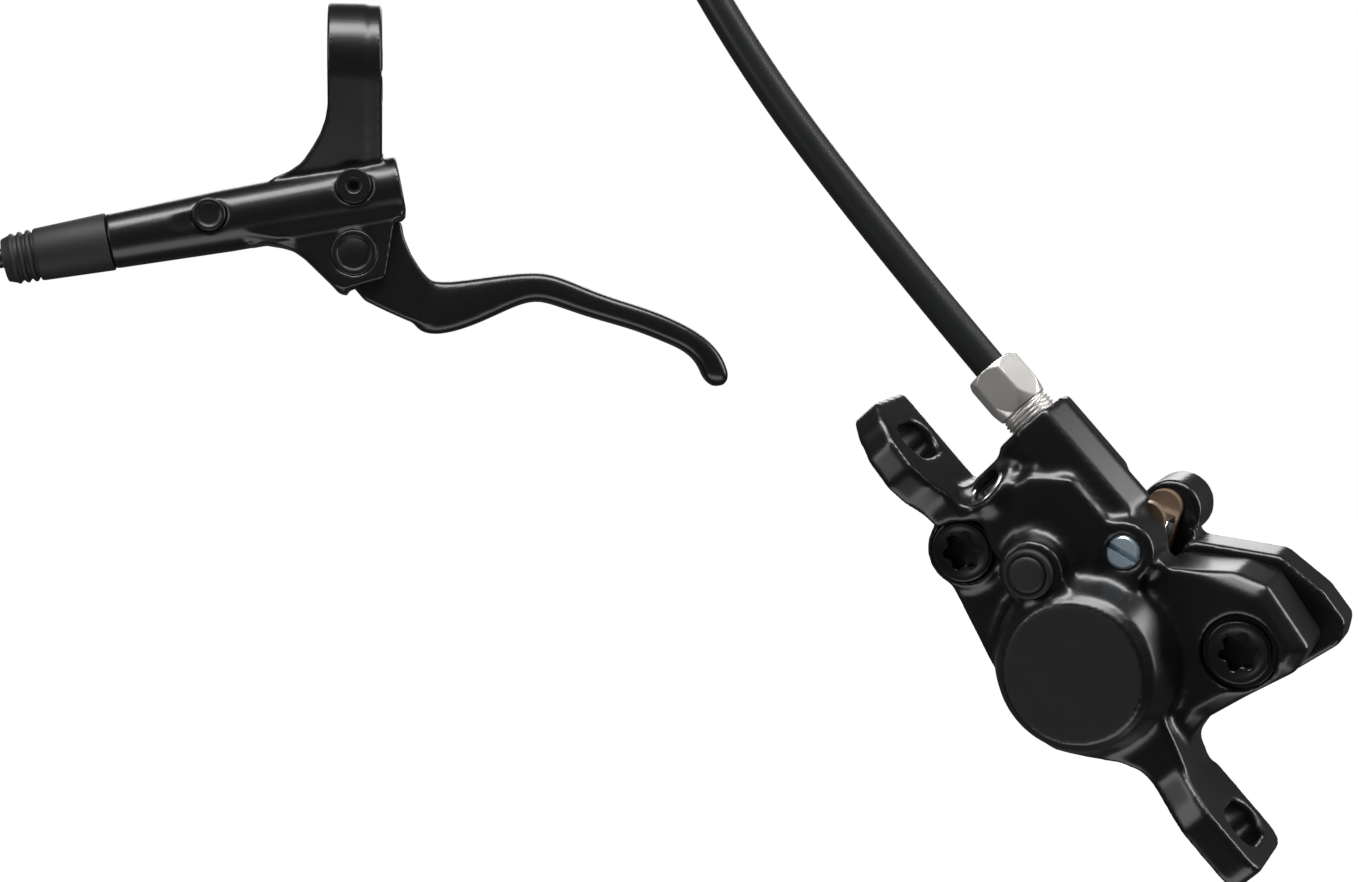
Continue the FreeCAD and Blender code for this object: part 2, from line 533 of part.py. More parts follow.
def hose_boot():
    right, tail = S.tube_tail - 0.05, S.boot_tail
    grip = tail + 8.6
    profile = [(S.nut_flats * 0.5 + 0.95, right), (S.boot_r, right), (S.boot_neck_r, grip)]
    for ring in range(3):
        top = grip - 0.4 - 2.1 * ring
        profile += [(S.boot_neck_r - 0.8, top), (S.boot_neck_r - 0.8, top - 0.6),
                    (S.boot_neck_r - 0.1 * ring, top - 1.0),
                    (S.boot_neck_r - 0.1 * ring, top - 1.9)]
    profile += [(S.boot_end_r - 0.7, tail), (S.hose_r + S.boot_play, tail),
                (S.hose_r + S.boot_play, right - 7.5), (S.nut_flats * 0.5 + 0.95, right - 7.0)]
    turned("hose_boot", profile, TUBE)


# The hose's route between its two ends, chosen by hand along the way that it
# lies: over the top from the caliper and round to the left into the boot
ROUTE = [
    (59.0, -266.5, -30.5), (38.0, -256.0, 19.5), (4.0, -238.5, 57.5), (-47.0, -205.0, 79.5),
    (-98.0, -160.0, 74.0), (-142.0, -120.0, 48.0), (-166.0, -78.0, 12.0), (-172.0, -36.0, -27.0),
    (-150.0, -6.0, -56.0),
]


def hose_run(points, radius):
    """A round tube along straight runs joined by tangent arcs."""
    edges, here, radii, length = [], points[0], [], 0.0
    for before, corner, after in zip(points, points[1:], points[2:]):
        arrive, leave = (corner - before), (after - corner)
        shorter = min(arrive.Length, leave.Length)
        turn = arrive.getAngle(leave)
        bend = 0.45 * shorter / math.tan(turn / 2)
        radii.append(round(bend, 1))
        cut = 0.45 * shorter
        arrive.normalize()
        leave.normalize()
        start, end = corner - arrive * cut, corner + leave * cut
        inward = (leave - arrive).normalize()
        middle = corner + inward * (bend / math.cos(turn / 2) - bend)
        edges.append(Part.LineSegment(here, start).toShape())
        edges.append(Part.Arc(start, middle, end).toShape())
        here = end
    edges.append(Part.LineSegment(here, points[-1]).toShape())
    path = Part.Wire(edges)
    first = points[1] - points[0]
    ring = Part.Wire(Part.Circle(points[0], first, radius).toShape())
    tube = path.makePipeShell([ring], True, False)
    ideal = math.pi * radius ** 2 * path.Length
    print("hose length", round(path.Length, 1), "radii", radii,
          "volume share", round(tube.Volume / ideal, 5))
    return tube


def brake_hose():
    depth = S.hose_seat - S.insert_flange
    start = CALIPER_PORT.multVec(Vector(0, 0, -number(depth)))
    out = CALIPER_PORT.multVec(Vector(0, 0, number(S.hose_first_run)))
    end = LEVER_PORT.multVec(Vector(0, 0, -number(depth)))
    before_boot = LEVER_PORT.multVec(Vector(0, 0, number(S.hose_last_run)))
    points = [start, out] + [Vector(*spot) for spot in ROUTE] + [before_boot, end]
    hose = doc.addObject("Part::Feature", "brake_hose")
    stem = Part.makeCylinder(number(S.insert_stem_r), number(S.insert_stem))
    tube = hose_run(points, number(S.hose_r))
    for port in (CALIPER_PORT, LEVER_PORT):
        hole = stem.copy()
        hole.Placement = port.multiply(Placement(Vector(0, 0, -number(S.hose_seat)), Rotation()))
        tube = tube.cut(hole)
    hose.Shape = tube.Solids[0]


def radial_box(piece, half, low, high, bottom, top):
    """Cuts a box laid along the rotor's radius through the piston axis."""
    box = [(-half, low), (half, low), (half, high), (-half, high)]
    pocket(piece, outline(piece, "XY_Plane", box, top, 0, 0, S.rotor_lean), top - bottom)


def rotor_and_pads(piece, low, high):
    """The pads' chamber, their tabs' channel and the rotor's gap in one half."""
    radial_box(piece, S.chamber_half, -40, S.chamber_top, low, high)
    radial_box(piece, S.tab_channel, 0, 40, low, high)
    lean = math.radians(number(S.rotor_lean))
    gap_low = low if number(low) == 0 else -S.rotor_gap
    gap_high = high if number(high) == 0 else S.rotor_gap
    cylinder(piece, "XY_Plane", S.rotor_centre * math.sin(lean), -S.rotor_centre * math.cos(lean),
             gap_low, S.rotor_pocket_r, gap_high - gap_low, cut=True)


def gallery(piece, start, radius, length, cut=False):
    """A round along the drilled gallery, which leans out of the left face."""
    kind = "PartDesign::SubtractiveCylinder" if cut else "PartDesign::AdditiveCylinder"
    feature = piece.newObject(kind, "gallery")
    base = [item for item in piece.Origin.OriginFeatures if item.Role == "XY_Plane"][0]
    feature.AttachmentSupport = [(base, "")]
    feature.MapMode = "FlatFace"
    feature.AttachmentOffset = GALLERY.multiply(Placement(Vector(0, 0, number(start)), Rotation()))
    feature.Radius = number(radius)
    feature.Height = number(length)
    bind(feature, "Radius", radius)
    bind(feature, "Height", length)


def caliper_outer_half():
    piece = body("caliper_outer_half", CALIPER)
    plate = [(-30.0, -3.0), (-28.4, -7.6), (-22.4, -9.0), (-9.9, -12.2), (-4.0, -13.4), (4.0, -13.4),
             (10.5, -10.0), (14.0, -6.0), (18.5, -3.4), (18.5, 2.5), (17.3, 7.0), (18.4, 14.0),
             (20.0, 22.0), (18.6, 26.0), (8.0, 27.4), (3.5, 25.0), (-4.0, 17.4), (-13.4, 17.4),
             (-13.4, 19.6), (-31.5, 19.6), (-31.5, 4.5), (-30.0, 1.4)]
    pad(piece, outline(piece, "XY_Plane", plate), S.plate_top)
    top = number(S.plate_top)
    bevel(piece, S.arm_bevel, lambda edge, spot: abs(spot.z - top) < 0.01
          and edge.BoundBox.ZLength < 0.01 and spot.x > 0 and spot.y > 3)
    # the raised block round the gallery, and the web from the housing to the
    # right tab
    block = [(-27.5, 3.0), (-26.5, 12.0), (-22.0, 17.0), (-12.5, 17.0), (-9.5, 12.0), (-9.5, 5.0),
             (-14.0, 0.5), (-22.0, 0.5)]
    pad(piece, outline(piece, "XY_Plane", block), S.block_top)
    web = [(4.0, -12.6), (6.8, -12.0), (11.3, -8.3), (14.5, -5.3), (17.4, S.tab_seat),
           (22.0, S.tab_seat), (22.0, S.tab_face), (8.0, 6.0)]
    pad(piece, outline(piece, "XY_Plane", web, S.web_low), S.web_top - S.web_low)
    cylinder(piece, "XY_Plane", 0, 0, 0, S.housing_r, S.shoulder)
    cone(piece, "XY_Plane", 0, 0, S.shoulder, S.housing_r, S.cap_ring,
         S.cap_top - S.cap_proud - S.shoulder)
    cylinder(piece, "XY_Plane", 0, 0, S.shoulder, S.cap_r, S.cap_top - S.shoulder)
    cylinder(piece, "XY_Plane", S.left_bolt_x, S.left_bolt_y, 0, S.bolt_boss_r, S.left_seat + 2.6)
    cylinder(piece, "XY_Plane", S.nipple_x, S.nipple_y, 0, S.nipple_boss_r, S.nipple_top)
    cylinder(piece, "XY_Plane", S.axle_x, S.axle_y, 0, S.axle_boss_r, S.axle_top)
    port = [(10.2, 0), (19.6, 0), (21.4, 4.5), (21.9, 9.0), (19.9, 14.4), (15.0, 16.4),
            (10.4, 14.0)]
    pad(piece, outline(piece, "YZ_Plane", port, S.port_face), S.port_boss_len)
    gallery(piece, -S.gallery_len, S.gallery_boss_r, S.gallery_len)
    left_end, right_end = S.slot_left - S.tab_end, S.slot_left + S.mount_pitch + S.tab_end
    thick = S.tab_face - S.tab_seat
    left_tab = [(-27.0, S.tab_far), (left_end, S.tab_far), (left_end, 16.0), (-46.2, 19.4),
                (-43.2, 22.0), (-38.0, 23.0), (-34.6, 21.6), (-31.6, 18.6), (-27.0, 17.6)]
    right_tab = [(12.0, 12.5), (17.0, 16.8), (20.6, 18.4), (24.5, 20.6), (27.5, S.tab_near),
                 (right_end, S.tab_near), (right_end, S.tab_far), (23.2, S.tab_far),
                 (23.2, S.tab_neck), (19.8, S.tab_neck), (17.6, 6.5), (12.0, 5.0)]
    for tab in (left_tab, right_tab):
        pad(piece, outline(piece, "XZ_Plane", tab, -S.tab_face), thick)
    fillet(piece, S.tab_corner_r, lambda edge, spot: edge.BoundBox.YLength > 5
           and abs(spot.x - number(right_end)) < 0.01)
    for middle in (S.slot_left, S.slot_left + S.mount_pitch):
        low, high = S.slot_z - S.slot_len / 2 + S.slot_half, S.slot_z + S.slot_len / 2 - S.slot_half
        for spot in (low, high):
            cylinder(piece, "XZ_Plane", middle, spot, -20, S.slot_half, 40, cut=True)
        box = [(middle - S.slot_half, low), (middle + S.slot_half, low),
               (middle + S.slot_half, high), (middle - S.slot_half, high)]
        pocket(piece, outline(piece, "XZ_Plane", box, 20), 40)
    rotor_and_pads(piece, Size(0.0, "0"), S.chamber)
    cylinder(piece, "XY_Plane", 0, 0, 0, S.piston_r + S.wheel_piston_play, S.outer_bore_end, cut=True)
    cylinder(piece, "XY_Plane", S.left_bolt_x, S.left_bolt_y, 0, S.bolt_r, 30, cut=True)
    cylinder(piece, "XY_Plane", S.left_bolt_x, S.left_bolt_y, S.left_seat, S.bolt_head_r + 0.1, 30,
             cut=True)
    cylinder(piece, "XY_Plane", S.right_bolt_x, S.right_bolt_y, 0, S.bolt_r, 30, cut=True)
    cylinder(piece, "XY_Plane", S.right_bolt_x, S.right_bolt_y, S.right_seat, S.bolt_head_r + 0.8,
             30, cut=True)
    cylinder(piece, "XY_Plane", S.nipple_x, S.nipple_y, 12, S.nipple_r, 30, cut=True)
    cylinder(piece, "XY_Plane", S.axle_x, S.axle_y, 0, S.axle_r, 40, cut=True)
    cylinder(piece, "XY_Plane", S.axle_x, S.axle_y, S.axle_top - 2, S.axle_head_r, 10, cut=True)
    gallery(piece, -S.gallery_len / 2, S.gallery_bore_r, S.gallery_len, cut=True)
    cylinder(piece, "XY_Plane", S.joint_x, S.joint_y, 0, S.joint_seal_r, S.joint_seal_depth, cut=True)
    cylinder(piece, "XY_Plane", S.joint_x, S.joint_y, 0, S.passage_r, 10, cut=True)
    cylinder(piece, "XY_Plane", 0, 0, S.outer_seal_at, S.piston_r + S.seal_out + 0.1, S.seal_width,
             cut=True)
    cylinder(piece, "YZ_Plane", S.port_y, S.port_z, S.port_face - 5, S.nut_thread_r + S.thread_play,
             S.hose_seat + 5 - 3.4, cut=True)
    cylinder(piece, "YZ_Plane", S.port_y, S.port_z, S.port_face - 5, S.olive_r + 0.05,
             S.hose_seat + 5, cut=True)
    cylinder(piece, "YZ_Plane", S.port_y, S.port_z, S.port_face, S.feed_r, S.hose_seat + 3, cut=True)
    return piece


def caliper_inner_half():
    piece = body("caliper_inner_half", CALIPER)
    plate = [(-29.6, -5.0), (-24.4, -9.6), (-9.9, -12.5), (-4.0, -13.4), (4.0, -13.4), (11.0, -9.5),
             (15.0, -4.0), (17.2, 3.0), (18.6, 10.6), (20.4, 17.9), (21.5, 26.5), (19.5, 29.3),
             (14.0, 29.8), (6.0, 28.4), (-3.6, 20.0), (-5.0, 16.5), (-13.4, 16.5), (-16.0, 14.0),
             (-26.0, 8.0), (-30.0, 0.0)]
    pad(piece, outline(piece, "XY_Plane", plate, -S.inner_plate), S.inner_plate)
    cylinder(piece, "XY_Plane", 0, 0, -S.inner_back, S.housing_r, S.inner_back)
    for x, y, radius, back in ((S.left_bolt_x, S.left_bolt_y, S.bolt_boss_r, 12.0),
                               (S.right_bolt_x, S.right_bolt_y, S.bolt_boss_r, 12.0),
                               (S.lobe_x, S.lobe_y, S.lobe_r, S.inner_back)):
        cylinder(piece, "XY_Plane", x, y, -back, radius, back)
    rotor_and_pads(piece, -S.chamber, Size(0.0, "0"))
    cylinder(piece, "XY_Plane", 0, 0, -S.inner_bore_end, S.piston_r + S.wheel_piston_play,
             S.inner_bore_end, cut=True)
    cylinder(piece, "XY_Plane", 0, 0, -S.inner_seal_at - S.seal_width, S.piston_r + S.seal_out + 0.1,
             S.seal_width, cut=True)
    cylinder(piece, "XY_Plane", S.joint_x, S.joint_y, -5, S.passage_r, 5, cut=True)
    for x, y in ((S.left_bolt_x, S.left_bolt_y), (S.right_bolt_x, S.right_bolt_y)):
        cylinder(piece, "XY_Plane", x, y, -11.0, S.bolt_r, 11.0, cut=True)
    cylinder(piece, "XY_Plane", S.axle_x, S.axle_y, -30, S.axle_r, 30, cut=True)
    return piece


def caliper_fittings():
    bolts = []
    piece = doc.addObject("Part::Feature", "body_bolts")
    for x, y, seat_z in ((S.left_bolt_x, S.left_bolt_y, S.left_seat),
                         (S.right_bolt_x, S.right_bolt_y, S.right_seat)):
        spot = Vector(number(x), number(y), 0)
        shank = Part.makeCylinder(number(S.bolt_r), number(seat_z) + 10.5,
                                  spot + Vector(0, 0, -10.5))
        top = spot + Vector(0, 0, number(seat_z))
        head = Part.makeCylinder(number(S.bolt_head_r), number(S.bolt_head), top)
        socket = torx(2.9, 2.15)
        socket.translate(top + Vector(0, 0, number(S.bolt_head) - 2.2))
        bolts.append(shank.fuse(head).removeSplitter().cut(socket))
    piece.Shape = Part.makeCompound(bolts)
    piece.Placement = CALIPER

    turned("bleed_nipple", [
        (0.8, 12), (S.nipple_r, 12), (S.nipple_r, S.nipple_top + 0.4), (1.4, S.nipple_top + 0.4),
        (1.4, S.nipple_top - 3), (0.8, S.nipple_top - 3)], on_caliper(S.nipple_x, S.nipple_y, 0))
    turned("bleed_cap", [
        (S.nipple_r, S.nipple_top), (S.bleed_cap_r, S.nipple_top),
        (S.bleed_cap_r, S.nipple_top + 1.2), (2.9, S.nipple_top + 1.7), (2.7, S.nipple_top + 1.5),
        (0, S.nipple_top + 1.6), (0, S.nipple_top + 0.4), (S.nipple_r, S.nipple_top + 0.4)],
        on_caliper(S.nipple_x, S.nipple_y, 0))
    axle = turned("pad_axle", [
        (0, -S.inner_back - 1.4), (S.axle_r, -S.inner_back - 1.4), (S.axle_r, S.axle_top - 2),
        (S.axle_head_r, S.axle_top - 2), (S.axle_head_r, S.axle_top - 0.4),
        (S.axle_head_r - 0.4, S.axle_top), (0, S.axle_top)], on_caliper(S.axle_x, S.axle_y, 0))
    slot = [(-3, -0.45), (3, -0.45), (3, 0.45), (-3, 0.45)]
    pocket(axle, outline(axle, "XY_Plane", slot, S.axle_top + 1, 0, 0, 20), 2.2)
    plug_top = -S.plug_recess
    turned("gallery_plug", [
        (0, -3.5), (S.gallery_bore_r, -3.5), (S.gallery_bore_r, plug_top - 0.3),
        (S.gallery_bore_r - 0.3, plug_top), (1.1, plug_top), (1.1, plug_top - 1.2),
        (0, plug_top - 1.2)], CALIPER.multiply(GALLERY))
    turned("joint_seal", [
        (S.joint_seal_bore_r, 0), (S.joint_seal_r - 0.1, 0), (S.joint_seal_r - 0.1, S.joint_seal_depth),
        (S.joint_seal_bore_r, S.joint_seal_depth)], on_caliper(S.joint_x, S.joint_y, 0))
    turned("axle_clip", [
        (S.axle_r, -S.inner_back - 0.9), (S.axle_r + 1.3, -S.inner_back - 0.9),
        (S.axle_r + 1.3, -S.inner_back - 0.4), (S.axle_r, -S.inner_back - 0.4)],
        on_caliper(S.axle_x, S.axle_y, 0))


def torx(outer, inner):
    """A six-lobed socket as a star of alternating radii, 3 mm deep."""
    corners = []
    for step in range(12):
        reach = outer if step % 2 == 0 else inner
        angle = math.radians(30 * step)
        corners.append(Vector(reach * math.cos(angle), reach * math.sin(angle), 0))
    face = Part.Face(Part.makePolygon(corners + corners[:1]))
    return face.extrude(Vector(0, 0, 3))


def pads_and_pistons():
    rows = ((1, "outer", S.outer_bore_end, S.outer_seal_at),
            (-1, "inner", S.inner_bore_end, S.inner_seal_at))
    for side, name, bore_end, seal_at in rows:
        back = side * S.chamber
        closed = side * (bore_end - 1.0)
        turned(name + "_piston", [
            (0, closed), (S.piston_r, closed), (S.piston_r, back), (8.2, back),
            (8.2, back + side * 2.0), (6.5, back + side * 2.0), (6.5, closed - side * 3.0),
            (0, closed - side * 3.0)], CALIPER)
        near = side * seal_at
        far = side * (seal_at + S.seal_width)
        turned(name + "_piston_seal", [
            (S.piston_r + S.wheel_piston_play, near), (S.piston_r + S.seal_out, near),
            (S.piston_r + S.seal_out, far), (S.piston_r + S.wheel_piston_play, far)], CALIPER)
        plate = body(name + "_pad_plate", CALIPER)
        level = S.chamber - S.pad_plate if side > 0 else -S.chamber
        form = [(-S.pad_half, S.pad_low + 4), (-S.pad_half + 5, S.pad_low),
                (S.pad_half - 5, S.pad_low), (S.pad_half, S.pad_low + 4),
                (S.pad_half - 1, S.pad_high - 3), (S.pad_half - 5, S.pad_high),
                (4.2, S.pad_high), (S.pad_tab_half, S.pad_high + 3), (S.pad_tab_half, S.pad_tab_top),
                (-S.pad_tab_half, S.pad_tab_top), (-S.pad_tab_half, S.pad_high + 3),
                (-4.2, S.pad_high), (5 - S.pad_half, S.pad_high), (1 - S.pad_half, S.pad_high - 3)]
        pad(plate, outline(plate, "XY_Plane", form, level, 0, 0, S.rotor_lean), S.pad_plate)
        lean = math.radians(number(S.rotor_lean))
        tip_x, tip_y = -S.pad_tab_top * math.sin(lean), S.pad_tab_top * math.cos(lean)
        cylinder(plate, "XY_Plane", tip_x, tip_y, level, S.pad_tab_half, S.pad_plate)
        cylinder(plate, "XY_Plane", S.axle_x, S.axle_y, -20, S.axle_r + 0.3, 40, cut=True)
        lining = body(name + "_pad_lining", CALIPER)
        level = S.chamber - S.pad_plate - S.pad_lining if side > 0 else -S.chamber + S.pad_plate
        form = [(-S.pad_half + 0.8, S.pad_low + 4), (-S.pad_half + 5.5, S.pad_low + 0.8),
                (S.pad_half - 5.5, S.pad_low + 0.8), (S.pad_half - 0.8, S.pad_low + 4),
                (S.pad_half - 2, S.pad_high - 4), (S.pad_half - 5.5, S.pad_high - 0.8),
                (5.5 - S.pad_half, S.pad_high - 0.8), (2 - S.pad_half, S.pad_high - 4)]
        pad(lining, outline(lining, "XY_Plane", form, level, 0, 0, S.rotor_lean), S.pad_lining)


def pad_spring():
    """A bent strip that keeps the pads apart, with the axle through both legs."""
    piece = body("pad_spring", on_caliper(0, 0, 0, Rotation(Vector(0, 0, 1), number(S.rotor_lean))))
    leg, sheet_r, top = S.spring_leg, S.spring_sheet, S.spring_top
    strip = [(S.spring_low, -leg), (top - 1.2, -leg), (top, -leg + 1.2), (top, leg - 1.2),
             (top - 1.2, leg), (S.spring_low, leg), (S.spring_low, leg - sheet_r),
             (top - 1.4, leg - sheet_r), (top - sheet_r, leg - 1.4), (top - sheet_r, 1.4 - leg),
             (top - 1.4, sheet_r - leg), (S.spring_low, sheet_r - leg)]
    pad(piece, outline(piece, "YZ_Plane", strip, -S.spring_half), 2 * S.spring_half)
    reach = (S.axle_x * S.axle_x + S.axle_y * S.axle_y).value ** 0.5
    cylinder(piece, "XY_Plane", 0, reach, -10, S.axle_r + 0.1, 20, cut=True)


lever_housing()
lever_blade()
lever_fittings()
master_cylinder()
hose_end("lever", LEVER_PORT, (Size(0.0, "0"), Size(6.0, "6")))
hose_end("caliper", CALIPER_PORT, (S.nut_collar, S.nut_len))
hose_boot()
brake_hose()
caliper_outer_half()
caliper_inner_half()
caliper_fittings()
pads_and_pistons()
pad_spring()
doc.recompute()

# Nothing is written until every object is sound
pieces = [item for item in doc.Objects
          if item.isDerivedFrom("PartDesign::Body") or item.TypeId == "Part::Feature"]
for item in doc.Objects:
    if "Invalid" in item.State or "Error" in item.State:
        raise RuntimeError(f"{item.Name} of {item.Label} failed: {item.State}")
for item in pieces:
    if item.Shape.isNull() or not item.Shape.isValid():
        raise RuntimeError(f"{item.Label} has no sound shape")
for item in pieces:
    item.Shape.exportStep(f"parts/{item.Label}.step")
    print(item.Label, len(item.Shape.Solids), round(item.Shape.Volume, 1))
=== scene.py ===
# %% [markdown]
# # A bicycle's hydraulic disc brake
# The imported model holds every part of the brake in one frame, in metres: the
# handlebar lever at the upper left, the caliper at the lower right, and the
# hose between them. This lesson dresses that model. Each step is one piece or
# one finish, and prints what it made.

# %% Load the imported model
import math

import bmesh
import bpy
from mathutils import Matrix, Vector


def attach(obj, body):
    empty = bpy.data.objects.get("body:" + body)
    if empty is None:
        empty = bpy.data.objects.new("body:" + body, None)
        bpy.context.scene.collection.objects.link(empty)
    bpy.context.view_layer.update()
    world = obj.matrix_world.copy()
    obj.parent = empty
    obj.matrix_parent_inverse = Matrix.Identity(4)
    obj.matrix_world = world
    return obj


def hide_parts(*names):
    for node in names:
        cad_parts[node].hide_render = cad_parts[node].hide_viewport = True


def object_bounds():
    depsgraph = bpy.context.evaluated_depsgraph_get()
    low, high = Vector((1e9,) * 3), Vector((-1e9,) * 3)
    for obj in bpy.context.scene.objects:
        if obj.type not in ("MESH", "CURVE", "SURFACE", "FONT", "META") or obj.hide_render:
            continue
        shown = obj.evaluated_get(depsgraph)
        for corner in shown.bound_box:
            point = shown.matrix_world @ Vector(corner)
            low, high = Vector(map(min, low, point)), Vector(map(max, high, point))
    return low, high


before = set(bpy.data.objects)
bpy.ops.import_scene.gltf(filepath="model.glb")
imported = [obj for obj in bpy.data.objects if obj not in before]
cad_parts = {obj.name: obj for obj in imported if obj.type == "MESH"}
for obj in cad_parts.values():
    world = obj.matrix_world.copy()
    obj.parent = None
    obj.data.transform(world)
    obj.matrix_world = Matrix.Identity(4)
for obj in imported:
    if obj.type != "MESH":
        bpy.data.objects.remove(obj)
cad_low, cad_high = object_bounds()
MM = 0.001
print("CAD box in mm:", [round(value / MM) for value in (*cad_low, *cad_high)])

# %% [markdown]
# ## The camera
# The two groups stand at different distances from the lens, which is why they
# can share one picture. A level camera keeps the lever's uprights upright, and
# a turn of six degrees to the right brings both groups in, so no lens shift
# is needed.

# %% Camera
CAMERA_PLACE = (0.012, -0.650, -0.09694)
CAMERA_TURN = math.radians(-6.28)
camera = bpy.data.objects.new("camera", bpy.data.cameras.new("camera"))
bpy.context.scene.collection.objects.link(camera)
camera.location = CAMERA_PLACE
camera.rotation_euler = (math.radians(90), 0, CAMERA_TURN)
camera.data.sensor_fit = "HORIZONTAL"
camera.data.sensor_width = 36
camera.data.lens = 66.61
camera.data.clip_start, camera.data.clip_end = 0.01, 50
bpy.context.scene.camera = camera
print("camera at", tuple(camera.location))

# %% [markdown]
# ## The hose
# A brake hose is one smooth line, so it is a single open NURBS spline. Its
# control points are the places that the hose is led past; the curve cuts
# gently inside them, as a springy hose does. The order is set after the points
# are added, because a spline with too few points falls back to straight runs.
# The bevel is one metre deep and each point's radius scales it down to the
# hose, since Blender counts those radii into the curve's box.

# %% Hose
HOSE_WAY = [
    (112.64, -285.81, -102.44), (87.46, -276.13, -70.90), (59.0, -266.5, -30.5),
    (38.0, -256.0, 19.5), (4.0, -238.5, 57.5), (-47.0, -205.0, 79.5), (-98.0, -160.0, 74.0),
    (-142.0, -120.0, 48.0), (-166.0, -78.0, 12.0), (-172.0, -36.0, -27.0), (-150.0, -6.0, -56.0),
    (-99.04, 0.0, -53.49), (-50.43, 0.0, -44.13),
]
HOSE_THICK = 5.0
curve = bpy.data.curves.new("hose_skin", "CURVE")
curve.dimensions = "3D"
curve.bevel_depth = 1.0
curve.bevel_resolution = 8
curve.resolution_u = 16
spline = curve.splines.new("NURBS")
spline.points.add(len(HOSE_WAY) - 1)
for point, place in zip(spline.points, HOSE_WAY):
    point.co = (*(Vector(place) * MM), 1)
    point.radius = HOSE_THICK / 2 * MM
spline.order_u = 3
spline.use_endpoint_u = True
hose = bpy.data.objects.new("hose_skin", curve)
bpy.context.scene.collection.objects.link(hose)
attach(hose, "brake_body")
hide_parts("brake_hose")
print("hose through", len(HOSE_WAY), "control points")

# %% [markdown]
# ## Shader arithmetic
# A finish mixes patterns: grain times a strength, plus a base value. Wrapping
# a socket in a small class lets Python's own signs add the Math nodes, so that
# a finish reads as a formula. Every other node comes from `node`.


# %% A socket that can be added and multiplied
class Signal:
    """A number that varies over a surface."""

    tree = None

    def __init__(self, socket):
        self.socket = socket

    @classmethod
    def node(cls, kind, settings=None, sockets=None, output=0):
        """Adds a node: its settings first, then its sockets' values or links."""
        made = cls.tree.nodes.new("ShaderNode" + kind)
        for name, value in (settings or {}).items():
            if name == "stops":
                for stop, (place, shade) in zip(made.color_ramp.elements, value):
                    stop.position, stop.color = place, shade
            else:
                setattr(made, name, value)
        for name, value in (sockets or {}).items():
            if isinstance(value, Signal):
                cls.tree.links.new(value.socket, made.inputs[name])
            else:
                made.inputs[name].default_value = value
        return cls(made.outputs[output])

    def math(self, operation, first, second):
        return self.node("Math", {"operation": operation}, {0: first, 1: second})

    def __add__(self, other):
        return self.math("ADD", self, other)

    def __radd__(self, other):
        return self.math("ADD", other, self)

    def __sub__(self, other):
        return self.math("SUBTRACT", self, other)

    def __rsub__(self, other):
        return self.math("SUBTRACT", other, self)

    def __mul__(self, other):
        return self.math("MULTIPLY", self, other)

    def __rmul__(self, other):
        return self.math("MULTIPLY", other, self)


print("signals add, subtract and multiply")

# %% [markdown]
# ## What every finish is made of
# Real finishes differ from flat paint in three ways: their colour drifts a
# little over some millimetres, their gloss is uneven, and a fine grain bends
# the reflections. One function lays those three over a base, with sizes given
# in millimetres. The patterns use object coordinates, so they stay on the
# piece when it moves.


# %% Patterns in millimetres
def place_on_piece():
    return Signal.node("TexCoord", output=3)


def grain(size, detail=3.0):
    """Soft noise with blotches of about this many millimetres, from 0 to 1."""
    return Signal.node("TexNoise", None, {
        "Vector": place_on_piece(), "Scale": 1 / (size * MM), "Detail": detail,
        "Roughness": 0.55})


def tint(share, low, high):
    """A colour between low and high."""
    return Signal.node("Mix", {"data_type": "RGBA"}, {0: share, 6: (*low, 1), 7: (*high, 1)},
                       output=2)


def finish(name, low, high, gloss, gloss_drift, bump, grain_size, drift_size=6.0, **sockets):
    """A material whose colour, gloss and surface vary at their own sizes."""
    made = bpy.data.materials.new(name)
    made.use_nodes = True
    Signal.tree = made.node_tree
    shader = made.node_tree.nodes["Principled BSDF"]
    for socket, value in sockets.items():
        shader.inputs[socket.replace("_", " ")].default_value = value
    drift = grain(drift_size)
    fine = grain(grain_size, 2.0)
    # Each pattern averages a half, so this start leaves the mean at `gloss`.
    start = gloss - 0.75 * gloss_drift
    links = {
        "Base Color": tint(drift * 0.6 + fine * 0.4, low, high),
        "Roughness": drift * gloss_drift + fine * (gloss_drift / 2) + start,
        "Normal": Signal.node("Bump", None, {
            "Strength": 1.0, "Distance": bump * MM, "Height": fine}),
    }
    for socket, signal in links.items():
        made.node_tree.links.new(signal.socket, shader.inputs[socket])
    return made


print("a finish is a drift, a grain and a base")

# %% [markdown]
# ## Black finishes
# The castings are painted satin black over a finely grained skin. Turned
# parts are a little duller, the rubber is duller still, and the hose is smooth
# and slightly lighter.

# %% Black finishes
cast_black = finish("cast_black", (0.0032, 0.0032, 0.0035), (0.0058, 0.0058, 0.0062), 0.3,
                    0.07, 0.005, 0.35, Specular_IOR_Level=0.55, Coat_Weight=0.15,
                    Coat_Roughness=0.2)
turned_black = finish("turned_black", (0.0035, 0.0035, 0.0038), (0.0065, 0.0065, 0.007), 0.34,
                      0.06, 0.003, 0.25)
matt_black = finish("matt_black", (0.006, 0.006, 0.0065), (0.0095, 0.0095, 0.01), 0.55, 0.06,
                    0.012, 0.22)
rubber = finish("rubber", (0.008, 0.008, 0.0085), (0.013, 0.013, 0.013), 0.6, 0.08, 0.01, 0.3)
hose_plastic = finish("hose_plastic", (0.012, 0.013, 0.014), (0.018, 0.019, 0.020), 0.34, 0.05,
                      0.0008, 0.5)
nylon = finish("nylon", (0.012, 0.012, 0.012), (0.02, 0.02, 0.02), 0.45, 0.08, 0.006, 0.4)
BLACKS = (cast_black, turned_black, matt_black, rubber, hose_plastic, nylon)
print("black finishes:", [item.name for item in BLACKS])

